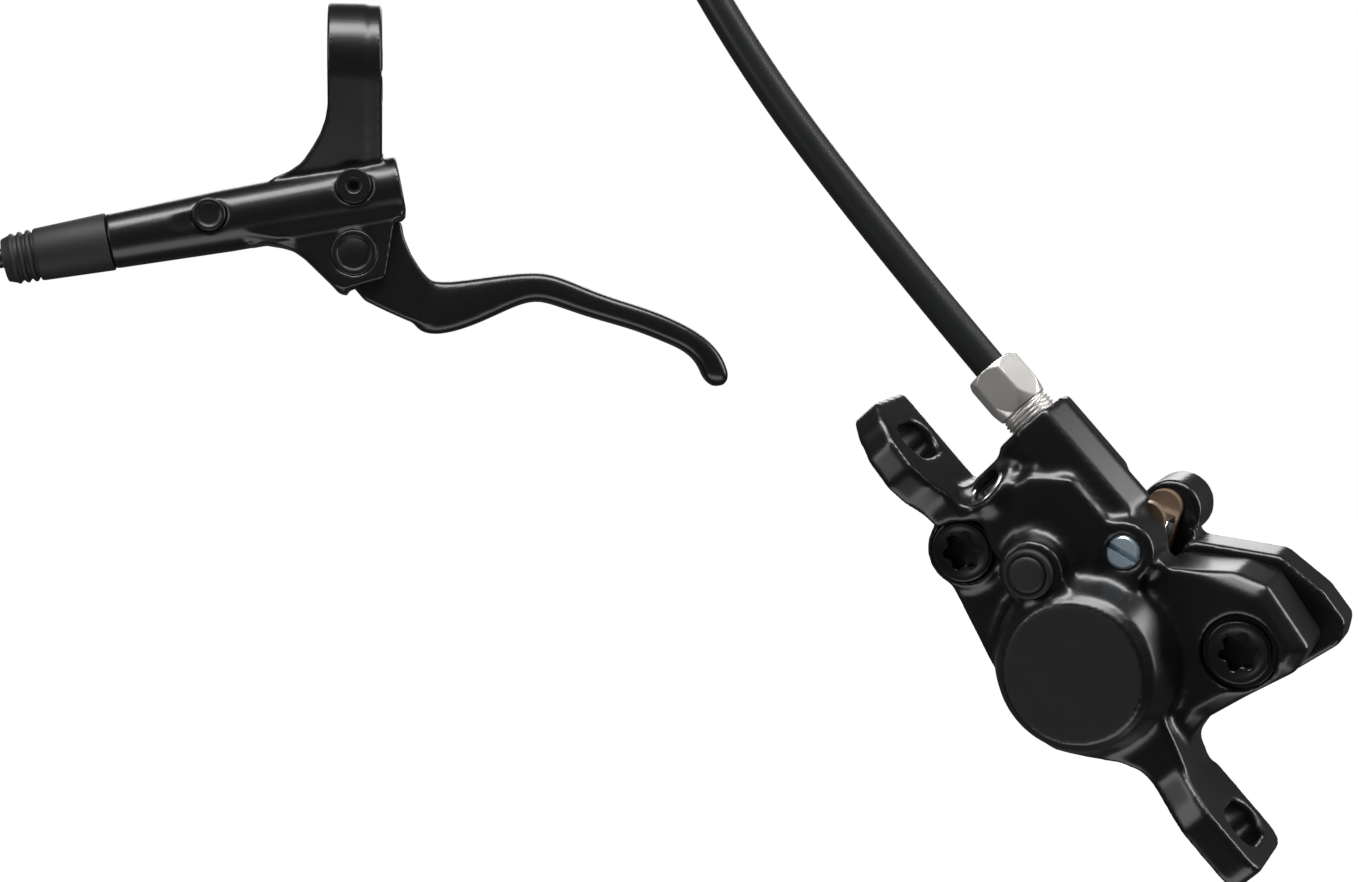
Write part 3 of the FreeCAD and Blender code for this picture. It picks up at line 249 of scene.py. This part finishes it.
# %% [markdown]
# ## Metals, resin and friction material
# Bare metals keep the colour of what they are: grey steel on the hose nut,
# blue-white zinc on the pad axle, bronze-brown on the pads' plates. A metal that
# is only partly metallic still shows its own colour in a dim room.

# %% Other finishes
bare_steel = finish("bare_steel", (0.62, 0.60, 0.575), (0.80, 0.78, 0.75), 0.3, 0.08, 0.003,
                    0.2, Metallic=0.65)
zinc = finish("zinc", (0.42, 0.56, 0.68), (0.75, 0.86, 0.95), 0.26, 0.1, 0.003, 0.5,
              drift_size=1.5, Metallic=0.5)
spring_steel = finish("spring_steel", (0.55, 0.54, 0.51), (0.70, 0.69, 0.66), 0.24, 0.08, 0.003,
                      0.4, Metallic=1.0)
bright_alloy = finish("bright_alloy", (0.62, 0.62, 0.61), (0.78, 0.78, 0.77), 0.25, 0.08, 0.003,
                      0.2, Metallic=1.0)
pad_bronze = finish("pad_bronze", (0.20, 0.13, 0.085), (0.34, 0.235, 0.16), 0.38, 0.1, 0.006,
                    0.35, Metallic=0.4)
brass = finish("brass", (0.50, 0.36, 0.14), (0.66, 0.49, 0.22), 0.25, 0.08, 0.003, 0.3,
               Metallic=1.0)
friction = finish("friction", (0.05, 0.045, 0.04), (0.16, 0.13, 0.10), 0.8, 0.1, 0.03, 0.4,
                  drift_size=1.2)
piston_resin = finish("piston_resin", (0.20, 0.19, 0.17), (0.28, 0.27, 0.25), 0.4, 0.08, 0.004,
                      0.5)
print("materials in all:", len(bpy.data.materials))

# %% [markdown]
# ## From mesh code to a piece
# Each piece is drawn in millimetres in a frame of its own: on the lever's
# tube, on a screw that faces the rider, or on the caliper. A matrix then lays
# it in the brake, and the mesh keeps the place, so the piece rides on its
# body without any offset.


# %% Frames in the brake
def frame_of(origin, across, up, along):
    """A matrix from three directions, from millimetres to metres."""
    axes = Matrix([(*row,) for row in zip(across, up, along)]).to_4x4()
    return Matrix.Translation(Vector(origin) * MM) @ axes @ Matrix.Scale(MM, 4)


TUBE_RISE = math.radians(10.9)
TUBE_RUN = Vector((math.cos(TUBE_RISE), 0, math.sin(TUBE_RISE)))
TUBE_UP = Vector((-math.sin(TUBE_RISE), 0, math.cos(TUBE_RISE)))
FOOT = Vector((-3.0, 0, -35.0))
PIVOT_DROP = 14.3
PIVOT = FOOT - PIVOT_DROP * TUBE_UP
tube_frame = frame_of(FOOT, TUBE_UP, (0, -1, 0), TUBE_RUN)


def facing_rider(x, z):
    return frame_of((x, 0, z), (1, 0, 0), (0, 0, 1), (0, -1, 0))


def turn(degrees, axis):
    return Matrix.Rotation(math.radians(degrees), 4, axis)


CALIPER_PLACE = (120.2, -274.5, -127.5)
CALIPER_TURNS = ((-15.86, "Z"), (85.6, "X"), (-49.66, "Z"), (19.0, "X"))
caliper_frame = Matrix.Translation(Vector(CALIPER_PLACE) * MM)
for degrees, axis in CALIPER_TURNS:
    caliper_frame = caliper_frame @ turn(degrees, axis)
caliper_frame = caliper_frame @ Matrix.Scale(MM, 4)


def on_caliper(x, y, z=0.0):
    return caliper_frame @ Matrix.Translation((x, y, z))


GALLERY_LEAN = 27.0
port_frame = on_caliper(-32.5, 16.5, 10.0) @ turn(-90, "Y")
gallery_frame = on_caliper(-29.4, 5.6, 15.0) @ turn(GALLERY_LEAN - 90, "Y")
print("caliper stands at", [round(value, 4) for value in caliper_frame.translation])

# %% [markdown]
# ## Handing a mesh over
# Faces that meet at less than an angle are shaded as one smooth surface.


# %% Hand a mesh over to a body
def add_piece(name, mesh, material, body, *nodes, angle=40):
    """A smooth-shaded piece on a body, standing for its CAD nodes."""
    piece = bpy.data.objects.new(name, mesh)
    bpy.context.scene.collection.objects.link(piece)
    mesh.materials.clear()
    mesh.materials.append(material)
    mesh.shade_smooth()
    mesh.set_sharp_from_angle(angle=math.radians(angle))
    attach(piece, body)
    if nodes:
        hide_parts(*nodes)
    print(name, len(mesh.polygons), "faces for", nodes or "no node")
    return piece


# %% [markdown]
# ## Castings
# A die casting has no sharp edge: metal does not fill one, and where two walls
# meet the mould leaves a generous hollow fillet. Growing the surface by a
# millimetre or two and shrinking it again closes the hollow corners; a voxel
# remesh between the steps keeps the skin whole. A last relaxing rounds the
# outer edges a little and leaves flat faces flat.


# %% A row of modifiers, kept as a mesh
def shaped(mesh, *steps):
    """The mesh after some modifiers, each a kind with its settings."""
    work = bpy.data.objects.new("work", mesh)
    bpy.context.scene.collection.objects.link(work)
    for kind, settings in steps:
        made = work.modifiers.new(kind.lower(), kind)
        for name, value in settings.items():
            setattr(made, name, value)
    bpy.context.view_layer.update()
    ready = work.evaluated_get(bpy.context.evaluated_depsgraph_get())
    result = bpy.data.meshes.new_from_object(ready)
    bpy.data.objects.remove(work)
    return result


print("shaped() keeps what a row of modifiers makes")

# %% [markdown]
# ## Two tools for the castings
# `soften` is the fillet just described. Before it runs, single vertices can be
# moved by a rule, if the mesh is dense enough, so a node's mesh is remeshed
# first.


# %% Fillets, and vertices moved by a rule
def voxels(size):
    return "REMESH", {"mode": "VOXEL", "voxel_size": size * MM}


def grow(size):
    return "DISPLACE", {"strength": size * MM, "mid_level": 0}


def soften(mesh, voxel, fillet, rounds):
    """A casting: inner corners filled, outer edges rounded."""
    return shaped(mesh, voxels(voxel), grow(fillet), voxels(voxel), grow(-fillet), voxels(voxel),
                  ("SMOOTH", {"factor": 0.5, "iterations": rounds}))


def node_mesh(node, voxel):
    """A dense copy of a node's mesh, whose vertices can be moved one by one."""
    return shaped(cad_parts[node].data.copy(), voxels(voxel))


def move_each(mesh, place, rule):
    """Moves every vertex by a rule on its place in millimetres."""
    back = place.inverted()
    for vert in mesh.vertices:
        vert.co = place @ Vector(rule(back @ vert.co))


def repaint(piece, material, place, wanted):
    """Gives another finish to the faces whose centre, in millimetres, passes."""
    piece.data.materials.append(material)
    back = place.inverted()
    count = 0
    for face in piece.data.polygons:
        if wanted(back @ face.center):
            face.material_index = len(piece.data.materials) - 1
            count += 1
    print(piece.name, "repainted on", count, "faces")


print("soften() fills hollow corners and rounds edges")

# %% [markdown]
# ## The lever's casting
# From the band a column falls to the tube, and its front leans back until it
# dives behind the tube's upper edge. A dense copy of the CAD mesh is pressed to
# that leaning face, or to the tube where the tube is nearer. The apron, the
# edge that overhangs the bracket, fades into the tube towards the left.

# %% Rules for the column and the apron
world_mm = Matrix.Scale(MM, 4)
BAND_R, BORE_R, BAND_END = 15.4, 11.12, 6.75
LEAN_TOP, LEAN_DEPTH, LEAN = -6.14, 14.12, 0.4347
STEP_X, STEP = 3.1, 0.4
TUBE_R, TUBE_FLARE, FLARE_FROM = 8.45, 0.01, 14
COLUMN_LEFT, COLUMN_RIGHT = -24, 7.2
COLUMN_LOW, COLUMN_HIGH, COLUMN_BACK_HIGH = -32, -2, -8
APRON_END, APRON_STOP, APRON_LOW, APRON_HALF = -26.0, -16, -8.2, 5.6
APRON_STAND, APRON_RAMP = 2.4, 10


def column_depth(z):
    """Half the depth of the column at a height, and of the band above it."""
    if z > LEAN_TOP:
        return math.sqrt(BAND_R ** 2 - z ** 2)
    return LEAN_DEPTH - LEAN * (LEAN_TOP - z)


def press_housing(spot):
    """Keeps a vertex behind the leaning front or on the tube, whichever is nearer."""
    x, y, z = spot
    along = (spot - FOOT).dot(TUBE_RUN)
    above = (spot - FOOT).dot(TUBE_UP)
    tube_r = TUBE_R + TUBE_FLARE * (along - FLARE_FROM)
    on_column = COLUMN_LEFT < x < COLUMN_RIGHT and COLUMN_LOW < z < COLUMN_HIGH
    if on_column and (y < 0 or z < COLUMN_BACK_HIGH):
        tube = math.sqrt(max(0.0, tube_r ** 2 - above ** 2))
        most = max(column_depth(z) - (STEP if x > STEP_X else 0), tube)
        return (x, math.copysign(min(abs(y), most), y), z)
    on_apron = APRON_END - 2 < along < APRON_STOP and APRON_LOW < above < 0
    if on_apron and abs(y) > APRON_HALF:
        away = math.hypot(above, y)
        most = tube_r + APRON_STAND * max(0.0, (along - APRON_END) / APRON_RAMP)
        if away > most:
            lower = FOOT + along * TUBE_RUN + above * most / away * TUBE_UP
            return (lower.x, y * most / away, lower.z)
    return spot


DENSE, FINE = 0.4, 0.36
housing = node_mesh("lever_housing", DENSE)
move_each(housing, world_mm, press_housing)
print("lever housing pressed,", len(housing.vertices), "vertices")

# %% [markdown]
# ## Solids from outlines
# What the CAD mesh lacks is laid into it as plain solids. Each is a flat
# outline pushed through some depth, and the depth may follow the outline.


# %% Solids from outlines
def prism(corners, low, high, place):
    """A solid from a flat outline; low and high may follow the corner."""
    built = bmesh.new()
    ends = []
    for end in (low, high):
        ends.append([built.verts.new((u, v, end(u, v) if callable(end) else end))
                     for u, v in corners])
    for index in range(len(corners)):
        after = (index + 1) % len(corners)
        built.faces.new((ends[0][index], ends[0][after], ends[1][after], ends[1][index]))
    for ring in ends:
        built.faces.new(ring)
    bmesh.ops.recalc_face_normals(built, faces=built.faces)
    mesh = bpy.data.meshes.new("prism")
    built.to_mesh(mesh)
    built.free()
    mesh.transform(place)
    return mesh


def joined(*meshes):
    """Several meshes as one."""
    built = bmesh.new()
    for mesh in meshes:
        built.from_mesh(mesh)
    built.to_mesh(meshes[0])
    built.free()
    return meshes[0]


def arc(radius, first, last, steps=40):
    return [(radius * math.cos(math.radians(first + (last - first) * step / steps)),
             radius * math.sin(math.radians(first + (last - first) * step / steps)))
            for step in range(steps + 1)]


print("prism() and arc() draw outlines in millimetres")

# %% [markdown]
# ## The sweep and the step
# The column widens to the left in one smooth sweep. The right quarter of the
# band and of the column lies a little deeper, which draws a vertical line of
# light. The skin is drawn over all of these solids at once.

# %% Sweep and step
SWEEP = [(-5.0, -12.0), (-6.8, -12.0), (-7.4, -15.5), (-8.8, -19.1), (-10.8, -22.4),
         (-13.4, -26.0), (-16.6, -28.2), (-21.0, -30.0), (-19.0, -33.0), (-5.0, -33.0)]
from_front = frame_of((0, 0, 0), (1, 0, 0), (0, 0, 1), (0, -1, 0))
along_bar = frame_of((0, 0, 0), (0, 1, 0), (0, 0, 1), (1, 0, 0))
sweep = prism(SWEEP, lambda x, z: -column_depth(z), lambda x, z: column_depth(z), from_front)
STEP_LOW = -31.0
COLUMN_EDGE, SLIT_EDGE = 33.5, 36
side = [(-column_depth(STEP_LOW) + STEP, STEP_LOW), (column_depth(STEP_LOW) - STEP, STEP_LOW),
        (LEAN_DEPTH - STEP, LEAN_TOP)]
side += arc(BORE_R, -COLUMN_EDGE, COLUMN_EDGE - 180) + [(STEP - LEAN_DEPTH, LEAN_TOP)]
step_column = prism(side, STEP_X, BAND_END, along_bar)
ring = arc(BAND_R - STEP, SLIT_EDGE, 360 - SLIT_EDGE, 90)
ring += arc(BORE_R, 360 - SLIT_EDGE, SLIT_EDGE, 90)
step_band = prism(ring, STEP_X, BAND_END, along_bar)
housing = joined(housing, sweep, step_column, step_band)
add_piece("lever_casting", soften(housing, voxel=0.42, fillet=0.8, rounds=3), cast_black,
          "brake_body", "lever_housing", angle=180)

# %% [markdown]
# ## The blade and the caliper's halves
# The blade is forged and polished before it is painted, so its inner corners
# are wide and its tip is round. On the caliper the upper tab reaches a little
# past its slot, so the vertices beyond the slot are stretched outwards. The cap
# of the piston bore is masked when the rest is polished and stays matt.

# %% Blade and halves
TAB_START, TAB_STRETCH, TAB_BACK = -45.2, 1.72, 3
TIP_START, TIP_LENGTH, TIP_LEFT = -79.2, 3.7, 85
TIP_MIDDLE, TIP_SLANT, TIP_LEAST = 92.6, 0.27, 0.04
CAP_FACE, CAP_R = 23.7, 10.2


def round_tip(spot):
    """Draws the blade's last millimetres in to a round end."""
    x, y, z = spot
    below = (TIP_START - z) / TIP_LENGTH
    if below <= 0 or x < TIP_LEFT:
        return spot
    share = math.sqrt(max(TIP_LEAST, 1 - below * below))
    middle = TIP_MIDDLE + TIP_SLANT * (TIP_START - z)
    return (middle + (x - middle) * share, y * share, z)


def stretch_tab(spot):
    """Takes the upper tab's end a little further out."""
    x, y, z = spot
    if x < TAB_START and z > TAB_BACK:
        x = TAB_START + (x - TAB_START) * TAB_STRETCH
    return (x, y, z)


blade = node_mesh("lever_blade", DENSE)
move_each(blade, world_mm, round_tip)
add_piece("blade_casting", soften(blade, voxel=0.45, fillet=2.0, rounds=8), cast_black,
          "lever", "lever_blade", angle=180)
outer_half = node_mesh("caliper_outer_half", FINE)
move_each(outer_half, caliper_frame, stretch_tab)
outer = add_piece("outer_casting", soften(outer_half, voxel=0.41, fillet=1.4, rounds=3),
                  cast_black, "brake_body", "caliper_outer_half", angle=180)
inner_half = node_mesh("caliper_inner_half", DENSE)
add_piece("inner_casting", soften(inner_half, voxel=0.42, fillet=0.9, rounds=3), cast_black,
          "brake_body", "caliper_inner_half", angle=180)
repaint(outer, matt_black, caliper_frame,
        lambda spot: spot.z > CAP_FACE and spot.xy.length < CAP_R)

# %% [markdown]
# ## Turned pieces
# Nuts, screws, caps and the boot are all turned about an axis, but a hexagon,
# a thread or a star socket breaks the round. So a row of a turned piece is not
# one circle: its radius and its height may each follow the angle. A stack of
# such rows, joined by quads, gives a chamfered hexagon and a true helix alike.


# %% Spin rows into a surface
def spin(rows, place, steps=96):
    """Rows of (radius, height), either one a number or a function of the angle."""
    def at(value, angle):
        return value(angle) if callable(value) else value

    built = bmesh.new()
    rings = []
    for radius, height in rows:
        ring = []
        for step in range(steps):
            angle = math.tau * step / steps
            reach = at(radius, angle)
            ring.append(built.verts.new(
                (reach * math.cos(angle), reach * math.sin(angle), at(height, angle))))
        rings.append(ring)
    for low, high in zip(rings, rings[1:]):
        for step in range(steps):
            after = (step + 1) % steps
            built.faces.new((low[step], low[after], high[after], high[step]))
    for ring in (rings[0], rings[-1]):
        if max(vert.co.xy.length for vert in ring) > 1e-6:
            built.faces.new(ring)
    bmesh.ops.remove_doubles(built, verts=built.verts, dist=1e-5)
    bmesh.ops.recalc_face_normals(built, faces=built.faces)
    mesh = bpy.data.meshes.new("spun")
    built.to_mesh(mesh)
    built.free()
    mesh.transform(place)
    return mesh


print("spin() joins rows of (radius, height)")

# %% [markdown]
# ## Shapes that are not round
# A hexagon, a star and a chamfer are each a radius that follows the angle. The
# smallest of several radii cuts one shape with another.


# %% Radii that follow the angle
def polygon(sides, flats, soft=0.0):
    """The radius of a regular polygon; soft rounds its corners."""
    def radius(angle):
        middle = (angle + math.pi / sides) % (math.tau / sides) - math.pi / sides
        sharp = flats / 2 / math.cos(middle)
        most = flats / 2 / math.cos(math.pi / sides) - soft
        return min(sharp, most)
    return radius


def star(outer, inner):
    """The radius of a six-lobed socket."""
    def radius(angle):
        wave = math.cos(6 * angle)
        return (outer + inner) / 2 + (outer - inner) / 2 * math.copysign(abs(wave) ** 0.7, wave)
    return radius


def least(*radii):
    """The smallest of several radii at each angle, for a chamfered hexagon."""
    def radius(angle):
        return min(item(angle) if callable(item) else item for item in radii)
    return radius


def soft_corner(start, end, steps=4):
    """The rows after `start` that lead over a turned edge to `end` in a quarter turn."""
    turns = [math.pi / 2 * step / steps for step in range(1, steps + 1)]
    return [(start[0] + (end[0] - start[0]) * math.sin(part),
             start[1] + (end[1] - start[1]) * (1 - math.cos(part))) for part in turns]


print("a 6 mm hexagon reaches", round(polygon(6, 6.0)(0.5), 3), "mm at half a radian")

# %% [markdown]
# ## The hose nut
# The nut is the one bright piece of the caliper. A hexagon eight millimetres
# over its flats, its corners turned off by a cone at both ends, sits above a
# few turns of thread that the body does not cover.

# %% Hose nut at the caliper
def thread(radius, depth, pitch, low, high, per_turn=8):
    """Rows of a helical thread; each height climbs with the angle."""
    rows = []
    count = round((high - low) / pitch * per_turn)
    for index in range(count + 1):
        height = low + index * pitch / per_turn

        def reach(angle, height=height):
            phase = (height / pitch - angle / math.tau) % 1.0
            crest = min(1.0, 2.4 * min(phase, 1 - phase))
            edge = min(1.0, (height - low) / pitch, (high - height) / pitch)
            return radius - depth * (1 - crest * max(0.0, edge))

        rows.append((reach, height))
    return rows


def hexagon_head(flats, low, high, low_cone, high_cone, steps=8):
    """Rows of a hexagon whose corners are turned off by a cone at each end."""
    corner = flats / 2 / math.cos(math.pi / 6)
    shape = polygon(6, flats, 0.08)
    rows = []
    for end, cone, order in ((low, low_cone, range(steps + 1)),
                             (high, -high_cone, range(steps, -1, -1))):
        for step in order:
            reach = flats / 2 + (corner - flats / 2) * step / steps
            rows.append((least(shape, reach - 0.04), end + cone * step / steps))
    return rows


NUT_BORE, THREAD_END, NUT_FOOT, NUT_TOP = 2.62, -7.0, 2.5, 10.0
nut_rows = [(NUT_BORE, THREAD_END)] + thread(4.0, 0.36, 0.62, THREAD_END, 2.3)
nut_rows += [(3.45, NUT_FOOT)] + hexagon_head(8.0, NUT_FOOT, NUT_TOP, 2.2, 0.9)
nut_rows += [(3.3, NUT_TOP), (3.0, 9.8), (NUT_BORE, 9.4), (NUT_BORE, THREAD_END)]
add_piece("caliper_nut_turned", spin(nut_rows, port_frame, 144), bare_steel, "brake_body",
          "caliper_nut", angle=28)

# %% [markdown]
# ## Body bolts
# Two bolts with a six-lobed socket hold the caliper's halves together. The
# head is a low drum with a stepped rim, and the right one's foot is wider, as a
# washer fills its seat.

# %% Body bolts
LEFT_BOLT, LEFT_SEAT, LEFT_RIM = (-24.4, -3.6), 12.6, 4.75
RIGHT_BOLT, RIGHT_SEAT, RIGHT_RIM = (12.7, 18.0), 10.2, 5.45
SHANK, SHANK_END, DRUM = 3.0, -10.4, 4.68
socket = star(2.95, 2.2)
for name, (x, y), seat, rim in (("left_bolt", LEFT_BOLT, LEFT_SEAT, LEFT_RIM),
                                ("right_bolt", RIGHT_BOLT, RIGHT_SEAT, RIGHT_RIM)):
    rows = [(0, SHANK_END), (SHANK, SHANK_END), (SHANK, seat), (rim - 0.1, seat),
            (rim, seat + 0.1), (rim, seat + 2.5), (rim - 0.1, seat + 2.6), (4.75, seat + 2.6),
            (DRUM, seat + 2.7), (DRUM, seat + 3.2)]
    rows += soft_corner((DRUM, seat + 3.2), (4.3, seat + 3.6))
    rows += [(3.55, seat + 3.6), (3.4, seat + 3.5), (lambda a: socket(a) + 0.12, seat + 3.5),
             (socket, seat + 3.38), (socket, seat + 1.2), (0, seat + 0.9)]
    piece = add_piece(name, spin(rows, on_caliper(x, y)), turned_black, "brake_body", angle=35)
    if name == "left_bolt":
        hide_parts("body_bolts")

# %% [markdown]
# ## Rubber bleed cap
# The cap has a flat rim, a groove and a button, all soft at their edges.

# %% Bleed cap
CAP_SEAT = 22.6
CAP_SHAPE = [(0, 0.02), (3.5, 0.02), (3.7, 0.2), (3.7, 0.9), (3.55, 1.2), (3.3, 1.35),
             (3.05, 1.3), (2.9, 1.05), (2.75, 1.05), (2.65, 1.4), (2.45, 1.62), (2.1, 1.7),
             (0, 1.72)]
BLEED_CAP = (-15.1, 4.6)
cap_rows = [(radius, CAP_SEAT + height) for radius, height in CAP_SHAPE]
add_piece("bleed_cap_rubber", spin(cap_rows, on_caliper(*BLEED_CAP)), rubber, "brake_body",
          "bleed_cap", angle=60)

# %% [markdown]
# ## The hose boot
# The boot is a smooth cone that ends in three soft ribs, where it bends with
# the hose. Its wall is plain.

# %% Hose boot
TUBE_END, BOOT_END = -59.8, -86.4
rows = [(5.0, TUBE_END - 0.05), (7.2, TUBE_END - 0.05), (7.35, TUBE_END - 0.3)]
rows += [(6.68, BOOT_END + 8.9), (6.6, BOOT_END + 8.5), (6.45, BOOT_END + 8.25)]
for rib in range(3):
    rib_top, reach = BOOT_END + 8.2 - 2.1 * rib, 6.6 - 0.1 * rib
    rows += [(5.85, rib_top), (5.8, rib_top - 0.5), (reach - 0.3, rib_top - 0.85),
             (reach, rib_top - 1.15), (reach, rib_top - 1.6), (reach - 0.3, rib_top - 1.9)]
rows += [(5.4, BOOT_END + 0.1), (3.6, BOOT_END), (2.86, BOOT_END + 0.3), (2.86, TUBE_END - 8),
         (5.0, TUBE_END - 7), (5.0, TUBE_END - 0.05)]
add_piece("hose_boot_rubber", spin(rows, tube_frame), rubber, "brake_body", "hose_boot",
          angle=50)

# %% [markdown]
# ## Screws in the lever's tube
# A drum with a hexagon socket closes the bleed port, and a plug with a dished
# face closes the other hole. The pivot's cap is a round plate with a ring in it.

# %% Bleed screw, side plug and pivot
FACE = 7.0
BLEED_SCREW, SIDE_PLUG = (-0.3, -32.2), (-36.5, -39.8)
key = polygon(6, 2.5)
rows = [(0, 5.2), (2.5, 5.2), (2.5, FACE + 0.3), (4.45, FACE + 0.3), (4.55, FACE + 0.4),
        (4.55, FACE + 0.8)]
rows += soft_corner((4.55, FACE + 0.8), (4.1, FACE + 1.2))
rows += [(2.1, FACE + 1.2), (1.9, FACE + 1.05), (key, FACE + 1.0), (key, FACE - 0.4),
         (0, FACE - 0.7)]
add_piece("bleed_screw_turned", spin(rows, facing_rider(*BLEED_SCREW)), turned_black,
          "brake_body", "bleed_screw", angle=35)

rows = [(0, 6.0), (4.2, 6.0), (4.2, 7.6), (4.12, 7.9), (3.95, 8.1), (3.7, 8.2), (3.4, 8.2),
        (3.1, 8.1), (2.7, 7.85), (2.2, 7.75), (0, 7.72)]
add_piece("side_plug_turned", spin(rows, facing_rider(*SIDE_PLUG)), turned_black,
          "brake_body", "side_plug", angle=60)

rows = [(0, -6.4), (3.0, -6.4), (3.0, 5.6), (5.7, 5.6), (5.8, 5.7), (5.8, 6.2), (5.65, 6.4),
        (5.4, 6.5), (4.35, 6.5), (4.2, 6.35), (4.05, 6.1), (3.9, 6.05), (3.75, 6.15), (0, 6.15)]
add_piece("pivot_cap_turned", spin(rows, facing_rider(PIVOT.x, PIVOT.z)), turned_black,
          "brake_body", "pivot_pin", angle=60)

# %% [markdown]
# ## The milled face round the gallery
# The drill that opens the fluid gallery is followed by a cutter, which leaves a
# narrow bare ring in the paint.

# %% Milled ring
rows = [(2.66, -0.9), (2.66, -0.1), (2.8, 0.05), (3.3, 0.05), (3.4, -0.05), (3.4, -0.9),
        (2.66, -0.9)]
add_piece("gallery_ring", spin(rows, gallery_frame, 64), bright_alloy, "brake_body", angle=35)

# %% [markdown]
# ## Materials for what stays as it is
# The other nodes keep their CAD shape, and each gets the finish of its own
# real counterpart.

# %% Finishes for the CAD nodes
FINISHES = {
    "clamp_bolt": turned_black, "front_bush": nylon, "back_bush": nylon,
    "bleed_screw_seal": rubber, "master_piston": bright_alloy, "primary_cup": rubber,
    "secondary_cup": rubber, "pushrod": bare_steel, "piston_clip": spring_steel,
    "return_spring": spring_steel, "lever_nut": bare_steel, "lever_olive": brass,
    "lever_insert": brass, "caliper_olive": brass, "caliper_insert": brass,
    "bleed_nipple": bare_steel, "pad_axle": zinc, "gallery_plug": turned_black,
    "joint_seal": rubber, "axle_clip": spring_steel, "outer_piston": piston_resin,
    "inner_piston": piston_resin, "outer_piston_seal": rubber, "inner_piston_seal": rubber,
    "outer_pad_plate": pad_bronze, "inner_pad_plate": pad_bronze,
    "outer_pad_lining": friction, "inner_pad_lining": friction, "pad_spring": spring_steel,
}
for node, material in FINISHES.items():
    mesh_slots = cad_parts[node].material_slots
    if not mesh_slots:
        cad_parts[node].data.materials.append(material)
    for slot in mesh_slots:
        slot.material = material
hose.data.materials.append(hose_plastic)
unfinished = [name for name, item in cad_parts.items()
              if name not in FINISHES and not item.hide_render]
print("finished", len(FINISHES), "nodes; still plain:", unfinished)

# %% [markdown]
# ## Floor and light
# The photograph is a cut-out on white. A pale floor that meets a white
# surrounding keeps that look, and it isn't mirrored in the black paint.

# %% Floor
FLOOR_HALF = 6.0
level = cad_low.z - MM
floor_mesh = bpy.data.meshes.new("floor")
floor_mesh.from_pydata([(x * FLOOR_HALF, y * FLOOR_HALF, level)
                        for x, y in ((-1, -1), (1, -1), (1, 1), (-1, 1))], [], [(0, 1, 2, 3)])
floor = bpy.data.objects.new("floor", floor_mesh)
bpy.context.scene.collection.objects.link(floor)
pale = bpy.data.materials.new("pale_floor")
pale.use_nodes = True
paint = pale.node_tree.nodes["Principled BSDF"]
paint.inputs["Base Color"].default_value = (0.05, 0.05, 0.05, 1)
paint.inputs["Roughness"].default_value = 0.9
paint.inputs["Specular IOR Level"].default_value = 0.0
paint.inputs["Emission Color"].default_value = (1, 1, 1, 1)
paint.inputs["Emission Strength"].default_value = 1.0
floor_mesh.materials.append(pale)
floor.visible_glossy = False
floor.visible_diffuse = False
floor.visible_shadow = False
print("floor at", round(level / MM, 1), "mm")

# %% [markdown]
# ## The surroundings
# The world is white where the camera sees it and dim for everything else, so
# the black paint stays black.

# %% Surroundings
world = bpy.data.worlds.new("studio")
world.use_nodes = True
bpy.context.scene.world = world
Signal.tree = world.node_tree
background = world.node_tree.nodes["Background"]
background.inputs["Color"].default_value = (1, 1, 1, 1)
DIM = 0.06
seen = Signal.node("LightPath", output=0)
strength = seen * (1 - DIM) + DIM
world.node_tree.links.new(strength.socket, background.inputs["Strength"])
bpy.context.scene.view_settings.view_transform = "Standard"
print("world strength away from the camera:", DIM)

# %% [markdown]
# ## The lights
# Black paint shows nothing but what it mirrors, so a few large soft lights draw
# its edges. Each one's brightness is its radiance, and its power follows from
# its area.


# %% Lights
def softbox(name, place, target, wide, tall, brightness):
    """A rectangular area light that faces its target."""
    lamp = bpy.data.lights.new(name, "AREA")
    lamp.shape = "RECTANGLE"
    lamp.size, lamp.size_y = wide, tall
    lamp.energy = brightness * math.pi * wide * tall
    item = bpy.data.objects.new(name, lamp)
    bpy.context.scene.collection.objects.link(item)
    item.location = place
    aim = Vector(target) - Vector(place)
    item.rotation_euler = aim.to_track_quat("-Z", "Y").to_euler()
    print(name, round(lamp.energy, 1), "watts")


MIDDLE = (0.05, -0.12, -0.08)
for name, place, wide, tall, brightness in (
        ("top_light", (0.0, -0.55, 0.95), 1.4, 0.42, 11.0),
        ("left_light", (-1.1, -0.7, 0.30), 0.35, 0.9, 3.5),
        ("right_light", (1.15, -0.30, 0.25), 0.35, 0.9, 7.0),
        ("low_light", (0.0, -0.50, -0.95), 1.3, 0.6, 1.8),
        ("back_light", (0.2, 1.2, 0.6), 1.2, 0.6, 3.0)):
    softbox(name, place, MIDDLE, wide, tall, brightness)
